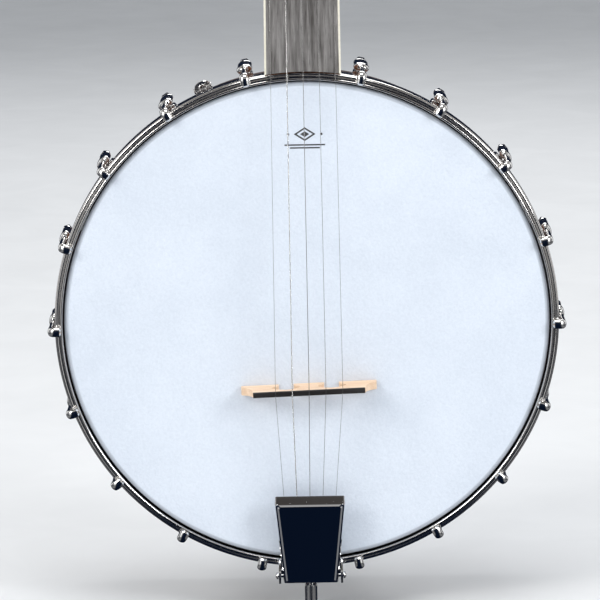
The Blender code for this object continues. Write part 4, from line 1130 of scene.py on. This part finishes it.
def board_left(y):
    """The fretboard's bass edge, which steps in past the fifth string's pip."""
    y = max(y, 0)
    if y <= STEP_START:
        return -0.022 + 0.0024 * y / STEP_START
    if y < STEP_END:
        return -0.0196 + 0.0046 * (1 - math.cos(math.pi * (y - STEP_START) / (STEP_END - STEP_START))) / 2
    nut_edge = NUT_CENTRE - NUT_HALF
    return -0.015 + (nut_edge + 0.015) * (y - STEP_END) / (BOARD_LENGTH - STEP_END)


def board_right(y):
    return 0.0216 + (NUT_CENTRE + NUT_HALF - 0.0216) * max(y, 0) / BOARD_LENGTH


def through(stations, at):
    """A smooth curve through (place, value, ...) stations, read at a place."""
    k = max(i for i, s in enumerate(stations[:-1]) if s[0] <= at or i == 0)
    a, b = stations[max(k - 1, 0)], stations[k]
    c, d = stations[k + 1], stations[min(k + 2, len(stations) - 1)]
    t = (at - b[0]) / (c[0] - b[0])
    span = c[0] - b[0]
    made = []
    for n in range(1, len(b)):
        into = (c[n] - a[n]) / (c[0] - a[0]) * span if c[0] != a[0] else c[n] - b[n]
        out_of = (d[n] - b[n]) / (d[0] - b[0]) * span if d[0] != b[0] else c[n] - b[n]
        made.append((2 * t**3 - 3 * t**2 + 1) * b[n] + (t**3 - 2 * t**2 + t) * into
                    + (-2 * t**3 + 3 * t**2) * c[n] + (t**3 - t**2) * out_of)
    return made


def neck_section(left, right, depth, power, top=0.0012):
    """A flat top with a short straight side, then a rounded back; a higher power makes it squarer."""
    middle, reach = (left + right) / 2, (right - left) / 2
    outline = [(left + 0.0003, 0), (right - 0.0003, 0), (right, -0.0003), (right, -top)]
    for k in range(1, 32):
        angle = math.pi * k / 32
        across = math.copysign(abs(math.cos(angle)) ** (2 / power), math.cos(angle))
        outline.append((middle + reach * across, -top - (depth - top) * math.sin(angle) ** (2 / power)))
    return outline + [(left, -top), (left, -0.0003)]


# %% Neck loft
heel_and_shaft = [
    (-0.008, 0.059, 1.7), (0.004, 0.0585, 1.7), (0.012, 0.052, 1.75), (0.022, 0.042, 1.8),
    (0.033, 0.0325, 1.9), (0.046, 0.0252, 2.0), (0.062, 0.0208, 2.1), (0.085, 0.0186, 2.2), (0.2, 0.0175, 2.2),
    (STEP_START, 0.0164, 2.2), (STEP_END, 0.0162, 2.2), (0.4, 0.0152, 2.2), (BOARD_LENGTH - 0.03, 0.0145, 2.2),
]
headstock_line = [
    (0.012, 0.0162, 3.5), (0.022, 0.0205, 7), (0.03, 0.0262, 9), (0.038, 0.0298, 9), (0.048, 0.0302, 9),
    (0.07, 0.0275, 9), (0.09, 0.0272, 9), (0.115, 0.0302, 9), (0.128, 0.031, 9), (0.138, 0.0272, 9),
    (0.146, 0.0205, 9), (0.151, 0.0105, 9), (0.1525, 0.004, 9),
]
places = [-0.008 + 0.0035 * k for k in range(28)]
places += [0.095 + 0.02 * k for k in range(11)]
places += [STEP_START - 0.004, STEP_START] + [STEP_START + 0.0007 * k for k in range(1, 11)]
places += [STEP_END + 0.02 * k for k in range(1, 6)] + [BOARD_LENGTH - 0.03]
places = sorted({round(y, 5) for y in places if not STEP_START + 0.0071 < y < STEP_END + 0.004})
sections = []
for y in places:
    depth, power = through(heel_and_shaft, y)
    sections.append([(x, y, NECK_FACE + z) for x, z in neck_section(board_left(y), board_right(y), depth, power)])
nut_end = neck_section(NUT_CENTRE - NUT_HALF, NUT_CENTRE + NUT_HALF, 0.015, 2.4)
sections.append([(x, HEADSTOCK_Y - 0.001, NECK_FACE + z) for x, z in nut_end])
INTO_NECK = NECK.inverted() @ HEADSTOCK
fine_steps = sorted({round(0.012 + 0.0035 * k, 5) for k in range(39)} | {0.146, 0.1485, 0.1502, 0.1515, 0.1525})
for y in fine_steps:
    reach, power = through(headstock_line, min(y, 0.1525))
    outline = neck_section(-reach, reach, HEADSTOCK_THICK, power)
    sections.append([INTO_NECK @ Vector((x, y, z)) for x, z in outline])
neck_mesh = plain_mesh("neck_loft", skin(sections), [neck_wood, veneer], NECK)
print("neck:", len(sections), "sections of", len(sections[0]), "points")

# %% Fit the heel to the pot
pot_cutter = link("pot_cutter", plain_mesh("pot_cutter", lathe([
    (0.0, -0.02), (RIM_RADIUS + GAP, -0.02), (RIM_RADIUS + GAP, 0.0512), (0.1439, 0.0512), (0.1439, 0.056),
    (HOOP_OUTER + GAP, 0.056), (HOOP_OUTER + GAP, 0.11), (0.0, 0.11)], 240), neck_wood, POT))
neck_blank = link("neck_blank", neck_mesh)
cut = neck_blank.modifiers.new("pot_curve", "BOOLEAN")
cut.operation, cut.solver, cut.object = "DIFFERENCE", "EXACT", pot_cutter
graph = bpy.context.evaluated_depsgraph_get()
neck_cut = bpy.data.meshes.new_from_object(neck_blank.evaluated_get(graph))
bpy.data.objects.remove(neck_blank)
bpy.data.objects.remove(pot_cutter)
INTO_HEADSTOCK = HEADSTOCK.inverted()
for face in neck_cut.polygons:
    centre = INTO_HEADSTOCK @ face.center
    if centre.z > -0.001 and centre.y > 0.0:
        face.material_index = 1
neck_cut.set_sharp_from_angle(angle=math.radians(35))
put_on("carved_neck", neck_cut, STILL, ["neck"])

# %% [markdown]
# ## The fretboard
# The board's pot end follows the hoop's curve. An ivoroid binding hides its edges, and it is a separate strip
# down each side, as it is on the real neck. The board narrows by one string's width past the fifth fret.

# %% Board and binding
BINDING = 0.0012


def board_line(edge, offset, start=None):
    """Points up one edge of the board, from the hoop's curve to the nut."""
    x = edge(0) + offset
    first = math.sqrt((HOOP_OUTER + GAP) ** 2 - x * x) - BOARD_START
    steps = [first, 0.004, 0.1, 0.2, STEP_START - 0.001]
    steps += [STEP_START + (STEP_END - STEP_START) * k / 8 for k in range(9)] + [STEP_END + 0.002, 0.4, BOARD_LENGTH]
    return [Vector((edge(y) + offset, y)) for y in steps]


left_in, right_in = board_line(board_left, BINDING), board_line(board_right, -BINDING)
arc = [Vector((x, math.sqrt((HOOP_OUTER + GAP) ** 2 - x * x) - BOARD_START))
       for x in [left_in[0].x + (right_in[0].x - left_in[0].x) * k / 14 for k in range(1, 14)]]
board = slab(left_in[::-1] + arc + right_in, -BOARD_THICK, 0, 0.00005)
piece("board", board, fretboard_wood, stands_for=["fretboard"], place=NECK)
strips = []
for edge, sign in ((board_left, 1), (board_right, -1)):
    outer_line, inner_line = board_line(edge, 0), board_line(edge, sign * (BINDING - 0.00004))
    strips.append((slab(outer_line + inner_line[::-1], -BOARD_THICK, 0.00002, 0.0001), HERE))
piece("board_binding", gather(strips), ivoroid, place=NECK)

# %% [markdown]
# ## Frets
# The places of frets follow a rule, which makes them a natural job for Geometry Nodes. Fret n lies at the
# scale length times one minus two to the power of -n/12 from the nut. The tree works out each fret's place and
# the board's two edges there, and stretches one fret pattern between them.

# %% The frets tree
fret_tree, given, result = group("frets by rule", "GeometryNodeTree", (
    ("Pattern", "Object", None), ("Frets", "Int", 17), ("Scale Length", "Float", 0.667), ("Nut", "Float", 0.482),
    ("Step", "Float", 0.32), ("Pot Left", "Float", -0.022), ("Step Left", "Float", -0.0196),
    ("After Step", "Float", -0.015), ("Nut Left", "Float", -0.0135), ("Pot Right", "Float", 0.0216),
    ("Nut Right", "Float", 0.0183), *PLACING,
), (("Geometry", "Geometry"),))
row = put(fret_tree, "GeometryNodeMeshLine", {"Count": given["Frets"], "Offset": (0.0, 0.0, 0.0)})
number = maths(fret_tree, "ADD", put(fret_tree, "GeometryNodeInputIndex"), 1.0)
power = maths(fret_tree, "POWER", 2.0, maths(fret_tree, "MULTIPLY", number, -1 / 12))
from_nut = maths(fret_tree, "MULTIPLY", maths(fret_tree, "SUBTRACT", 1.0, power), given["Scale Length"])
up_board = maths(fret_tree, "SUBTRACT", given["Nut"], from_nut)
lower = remap(fret_tree, up_board, 0.0, given["Step"], given["Pot Left"], given["Step Left"])
upper = remap(fret_tree, up_board, given["Step"], given["Nut"], given["After Step"], given["Nut Left"])
past_step = maths(fret_tree, "GREATER_THAN", up_board, given["Step"])
left = put(fret_tree, "ShaderNodeMix", {"Factor": past_step, "A": lower, "B": upper}, data_type="FLOAT")
right = remap(fret_tree, up_board, 0.0, given["Nut"], given["Pot Right"], given["Nut Right"])
middle = maths(fret_tree, "MULTIPLY", maths(fret_tree, "ADD", left, right), 0.5)
moved = put(fret_tree, "GeometryNodeSetPosition", {
    "Geometry": row, "Position": put(fret_tree, "ShaderNodeCombineXYZ", {0: middle, 1: up_board})})
width = put(fret_tree, "ShaderNodeCombineXYZ", {0: maths(fret_tree, "SUBTRACT", right, left), 1: 1.0, 2: 1.0})
copies = put(fret_tree, "GeometryNodeInstanceOnPoints", {
    "Points": moved, "Scale": width,
    "Instance": put(fret_tree, "GeometryNodeObjectInfo", {"Object": given["Pattern"]}, "Geometry")})
close_tree(fret_tree, given, result, copies)

# %% Seventeen frets
crown = [(0.0011, 0.0), (0.001, 0.0005), (0.0006, 0.0008), (0.0, 0.0009), (-0.0006, 0.0008), (-0.001, 0.0005),
         (-0.0011, 0.0)]
fret = skin([[(x, y, z * tall) for y, z in crown]
             for x, tall in ((-0.494, 0.25), (-0.484, 0.85), (-0.474, 1.0), (0.474, 1.0), (0.484, 0.85),
                             (0.494, 0.25))])
grow("fret_set", fret_tree, {
    "Pattern": plain_mesh("fret", fret, fret_wire, sharp=50), "Frets": 17, "Scale Length": SCALE_LENGTH,
    "Nut": BOARD_LENGTH, "Step": (STEP_START + STEP_END) / 2, "Pot Left": board_left(0),
    "Step Left": board_left(STEP_START), "After Step": board_left(STEP_END), "Nut Left": board_left(BOARD_LENGTH),
    "Pot Right": board_right(0), "Nut Right": board_right(BOARD_LENGTH)}, fret_wire, NECK)

# %% [markdown]
# ## Position markers
# Plain pearl discs between the frets show the player where the hand is, with two at the twelfth. Small dots on
# the bass side of the binding repeat them.

# %% Inlays and side dots
def disc(x, y, z, reach, thick, steps=24):
    made = lathe([(0.0, -thick), (reach, -thick), (reach, 0.0), (0.0, 0.0)], steps)
    return made, at(x, y, z)


inlays, side_dots = [], []
for number in (3, 5, 7, 10, 12, 15, 17):
    y = (fret_y(number) + fret_y(number - 1)) / 2
    if y > STEP_END:
        middle = (board_left(y) + board_right(y)) / 2
    else:
        middle = (board_left(y) + 0.0042 + board_right(y)) / 2
    for shift in ((-0.0085, 0.0085) if number == 12 else (0.0,)):
        inlays.append(disc(middle + shift, y, 0.00006, 0.003, 0.0004))
    dot, _ = disc(0, 0, 0, 0.001, 0.0004, 16)
    side_dots.append((dot, at(board_left(y) - 0.00005, y, -0.0022) @ Matrix.Rotation(-QUARTER, 4, "Y")))
piece("pearl_inlays", gather(inlays), pearloid, place=NECK)
piece("side_dots", gather(side_dots), black_plastic, place=NECK)

# %% [markdown]
# ## Nut, pip and truss rod cover
# The nut is a bar of bone with a slot for each long string, and the fifth string bends over its own small pip.
# The black cover hides the truss rod's end, and two little screws hold it.

# %% Nut and pip
AT_NUT = (0.01425, 0.00635, -0.00155, -0.00945)
DIAMETERS = (0.000254, 0.000305, 0.000406, 0.000584, 0.000254)
nut_top = [(NUT_CENTRE - NUT_HALF, NUT_TOP - 0.0002)]
for x, wire in sorted(zip(AT_NUT, DIAMETERS)):
    nut_top += [(x - wire * 0.9 - 0.0002, NUT_TOP + 0.0005), (x - wire * 0.6, NUT_TOP + 0.00005),
                (x + wire * 0.6, NUT_TOP + 0.00005), (x + wire * 0.9 + 0.0002, NUT_TOP + 0.0005)]
nut_top.append((NUT_CENTRE + NUT_HALF, NUT_TOP - 0.0002))
nut_outline = [(NUT_CENTRE - NUT_HALF, -BOARD_THICK), *nut_top, (NUT_CENTRE + NUT_HALF, -BOARD_THICK)]
nut = skin([[(x, y, z) for x, z in nut_outline] for y in (NUT_Y, NUT_Y + NUT_LENGTH)])
piece("bone_nut", nut, bone, stands_for=["nut"], place=NECK)
PIP_X, PIP_Y, PIP_TOP = -0.0178, fret_y(5) + 0.003, 0.0016
pip = lathe([(0.0, 0.0), (0.0016, 0.0), (0.0015, 0.001), (0.0013, 0.0014), (0.0008, PIP_TOP), (0.0, PIP_TOP)], 24)
piece("bone_pip", pip, bone, stands_for=["fifth_string_nut"], place=NECK @ at(PIP_X, PIP_Y, 0))

# %% Truss rod cover
bell = rounded([(-0.0095, 0.008, 0.001), (0.0095, 0.008, 0.001), (0.0105, 0.013, 0.003), (0.0085, 0.021, 0.004),
                (0.0045, 0.029, 0.003), (0, 0.035, 0.0015), (-0.0045, 0.029, 0.003), (-0.0085, 0.021, 0.004),
                (-0.0105, 0.013, 0.003)], 0.001, 5)
piece("bell_cover", slab(bell, 0.0002, 0.0018, 0.0005), black_plastic,
      stands_for=["truss_rod_cover"], place=HEADSTOCK)
small_screws = []
for y in (0.0108, 0.0312):
    small_screws.append((lathe([
        (0.0, 0.0014), (0.0012, 0.0014), (0.0012, 0.0019), (0.0008, 0.0023), (0.0, 0.0024)], 20),
                         at(0, y, 0)))
piece("cover_screws", gather(small_screws), bright_plate, place=HEADSTOCK)

# %% [markdown]
# ## Tuners
# Four planetary tuners go straight through the headstock. On its face are a washer, a hexagonal bushing nut
# and the string post; behind it are a round gear case with a knurled rim, and a pearl button that turns four
# times for each turn of the post. The fifth string's peg goes into the neck's side.

# %% Tuner shapes
BACK = -HEADSTOCK_THICK - GAP
TUNERS = [(side * 0.019, row) for row in (0.046, 0.108) for side in (1, -1)]


def case_shells():
    washer = lathe([(0.0024, 0.0002), (0.0066, 0.0002), (0.0066, 0.0006), (0.0062, 0.0009), (0.0024, 0.0009)], 36)
    nut = hexagon(0.0058, 0.0058, ((0.0009, 0.97), (0.0012, 1.0), (0.0022, 1.0), (0.0026, 0.95), (0.0028, 0.8)))
    case = lathe(rounded([
        (0.0026, BACK + 0.01, 0), (0.0043, BACK + 0.01, 0), (0.0043, BACK, 0), (0.0072, BACK, 0.0003),
        (0.0072, BACK - 0.0016, 0.0004), (0.0066, BACK - 0.0022, 0.0003), (0.0066, BACK - 0.0098, 0.0003),
        (0.0071, BACK - 0.0104, 0.0003), (0.0071, BACK - 0.0128, 0.0006), (0.0052, BACK - 0.0158, 0.0012),
        (0.0026, BACK - 0.016, 0)], 0.0, 3), 40)
    return [(washer, HERE), (nut, HERE), (case, HERE)]


def string_post():
    profile = rounded([
        (0.0, BACK - 0.006, 0), (0.0022, BACK - 0.006, 0), (0.0022, 0.0031, 0), (0.003, 0.0031, 0.0003),
        (0.003, 0.0066, 0.0006), (0.0023, 0.009, 0.0012), (0.003, 0.0128, 0.0008), (0.003, 0.0165, 0.0006),
        (0.0019, 0.018, 0.0005), (0.0, 0.018, 0)], 0.0, 4)
    return lathe(profile, 32)


def button(start, sign, reach=0.007):
    """A pearl button along z: a round neck that widens into a flattened oval grip."""
    profile = [(0.0, 0.0), (0.0034, 0.0), (0.0037, 0.0004), (0.0036, 0.0022), (0.0038, 0.0034), (0.005, 0.0046),
               (0.0062, 0.0058), (0.0069, 0.008), (0.007, 0.01), (0.0067, 0.0122), (0.0058, 0.0142),
               (0.0044, 0.0154), (0.0024, 0.016), (0.0, 0.0161)]
    made = lathe([(r, start + sign * h) for r, h in profile], 40)
    for v in made.verts:
        share = min(max((sign * (v.co.z - start) - 0.0026) / 0.004, 0.0), 1.0)
        ease = share * share * (3 - 2 * share)
        v.co.x *= 1 + 0.34 * ease
        v.co.y *= 1 - 0.36 * ease
    return made


# %% Four straight-through tuners
for number, (x, y) in enumerate(TUNERS, 1):
    where = HEADSTOCK @ at(x, y, 0)
    piece(f"gear_case_{number}", gather(case_shells()), bright_plate,
          stands_for=[f"tuner_{number}_housing"], place=where)
    knurl(f"gear_case_knurl_{number}", where, 0.0065, 0.00034, 36, (
        (BACK - 0.0026, 0.0001), (BACK - 0.003, 0.0005), (BACK - 0.0092, 0.0005), (BACK - 0.0096, 0.0001)))
    piece(f"string_post_{number}", string_post(), bright_plate, body=f"post_{number}",
          stands_for=[f"tuner_{number}_post"], place=where)
    grip = button(BACK - 0.0164, -1)
    shaft = lathe([(0.0, BACK - 0.0095), (0.002, BACK - 0.0095), (0.002, BACK - 0.017), (0.0, BACK - 0.017)], 20)
    piece(f"pearl_button_{number}", gather([(grip, HERE), (shaft, HERE)]), pearloid,
          body=f"button_{number}", stands_for=[f"tuner_{number}_button"], place=where)
    cap_screw = lathe([
        (0.0, BACK - 0.0322), (0.0016, BACK - 0.0322), (0.0015, BACK - 0.0326), (0.0, BACK - 0.0327)], 20)
    piece(f"button_screw_{number}", cap_screw, bright_plate, body=f"button_{number}", place=where)

# %% The fifth string's peg
PEG_Y, PEG_Z = fret_y(5) + 0.0225, -0.01
PEG = NECK @ at(0, PEG_Y, PEG_Z) @ Matrix.Rotation(-QUARTER, 4, "Y")
peg_case = lathe(rounded([
    (0.0, 0.005, 0), (0.003, 0.005, 0), (0.0031, 0.0156, 0), (0.0052, 0.0158, 0.0003), (0.0056, 0.017, 0.0004),
    (0.0046, 0.0185, 0.0006), (0.002, 0.0185, 0), (0.002, 0.008, 0), (0.0, 0.008, 0)], 0.0, 3), 32)
piece("peg_case", peg_case, bright_plate, stands_for=["tuner_5_housing"], place=PEG)
peg_post = lathe(rounded([
    (0.0, 0.0085, 0), (0.0016, 0.0085, 0), (0.0016, 0.0188, 0), (0.003, 0.0188, 0.0003), (0.0022, 0.0225, 0.0014),
    (0.003, 0.0262, 0.0006), (0.003, 0.0275, 0.0003), (0.0, 0.0275, 0)], 0.0, 4), 32)
piece("peg_post", peg_post, bright_plate, body="fifth_peg", stands_for=["tuner_5_post"], place=PEG)
piece("peg_button", button(0.0276, 1), pearloid, body="fifth_peg", stands_for=["tuner_5_button"], place=PEG)

# %% [markdown]
# ## Strings
# Each string starts in a loop round its post under the lid, crosses the bridge, bends over the nut and ends in
# several turns round its tuner's post. The long parts ride on the instrument, and the turns ride on the posts,
# so that they turn with them. The spiral tree winds the turns.

# %% String paths
AT_BRIDGE = (0.02, 0.0103, 0.0006, -0.0091, -0.0188)
POST_OF = {1: 0, 2: 2, 3: 3, 4: 1}
for number in range(1, 6):
    thin = DIAMETERS[number - 1] / 2 * 0.98
    clear = GAP + thin
    across = AT_BRIDGE[number - 1]
    crossing = BRIDGE_Y + (across - AT_BRIDGE[2]) * math.tan(BRIDGE_SLANT)
    loop = []
    for k in range(13):
        turn = math.radians(-90 + 27.7 * k)
        loop.append(POT @ Vector((AT_TAIL[number - 1] + 0.00115 * math.sin(turn + QUARTER),
                                  -0.1245 - 0.00115 * math.cos(turn + QUARTER), BASE_TOP + 0.001)))
    points = loop + [POT @ Vector((AT_TAIL[number - 1], -0.122, BASE_TOP + 0.0013))]
    points.append(POT @ Vector((across, crossing, HEAD_TOP + BRIDGE_HEIGHT + clear)))
    if number == 5:
        points.append(NECK @ Vector((PIP_X, PIP_Y + 0.0018, PIP_TOP + clear)))
        points.append(NECK @ Vector((-0.0225, PEG_Y - 0.0006, PEG_Z + 0.003 + clear)))
        wind_place = PEG @ at(0, 0, 0.0218)
        wind_body = "fifth_peg"
    else:
        points.append(NECK @ Vector((AT_NUT[number - 1], NUT_Y + NUT_LENGTH + GAP, NUT_TOP + clear)))
        x, y = TUNERS[POST_OF[number]]
        points.append(HEADSTOCK @ Vector((x - math.copysign(0.003 + clear, x), y, 0.009)))
        wind_place = HEADSTOCK @ at(x, y, 0.0082)
        wind_body = f"post_{POST_OF[number] + 1}"
    metal = wound_steel if number == 4 else string_steel
    piece(f"wire_{number}", tube(points, thin, 10), metal, stands_for=[f"string_{number}"], sharp=60)
    grow(f"wire_{number}_turns", spiral, {
        "Turns": 4.5, "Steps": 22, "Radius": 0.0024 + thin, "End Radius": 0.0024 + thin, "Height": 9.4 * thin,
        "Wire Radius": thin, "Sides": 8}, metal, wind_place, wind_body)
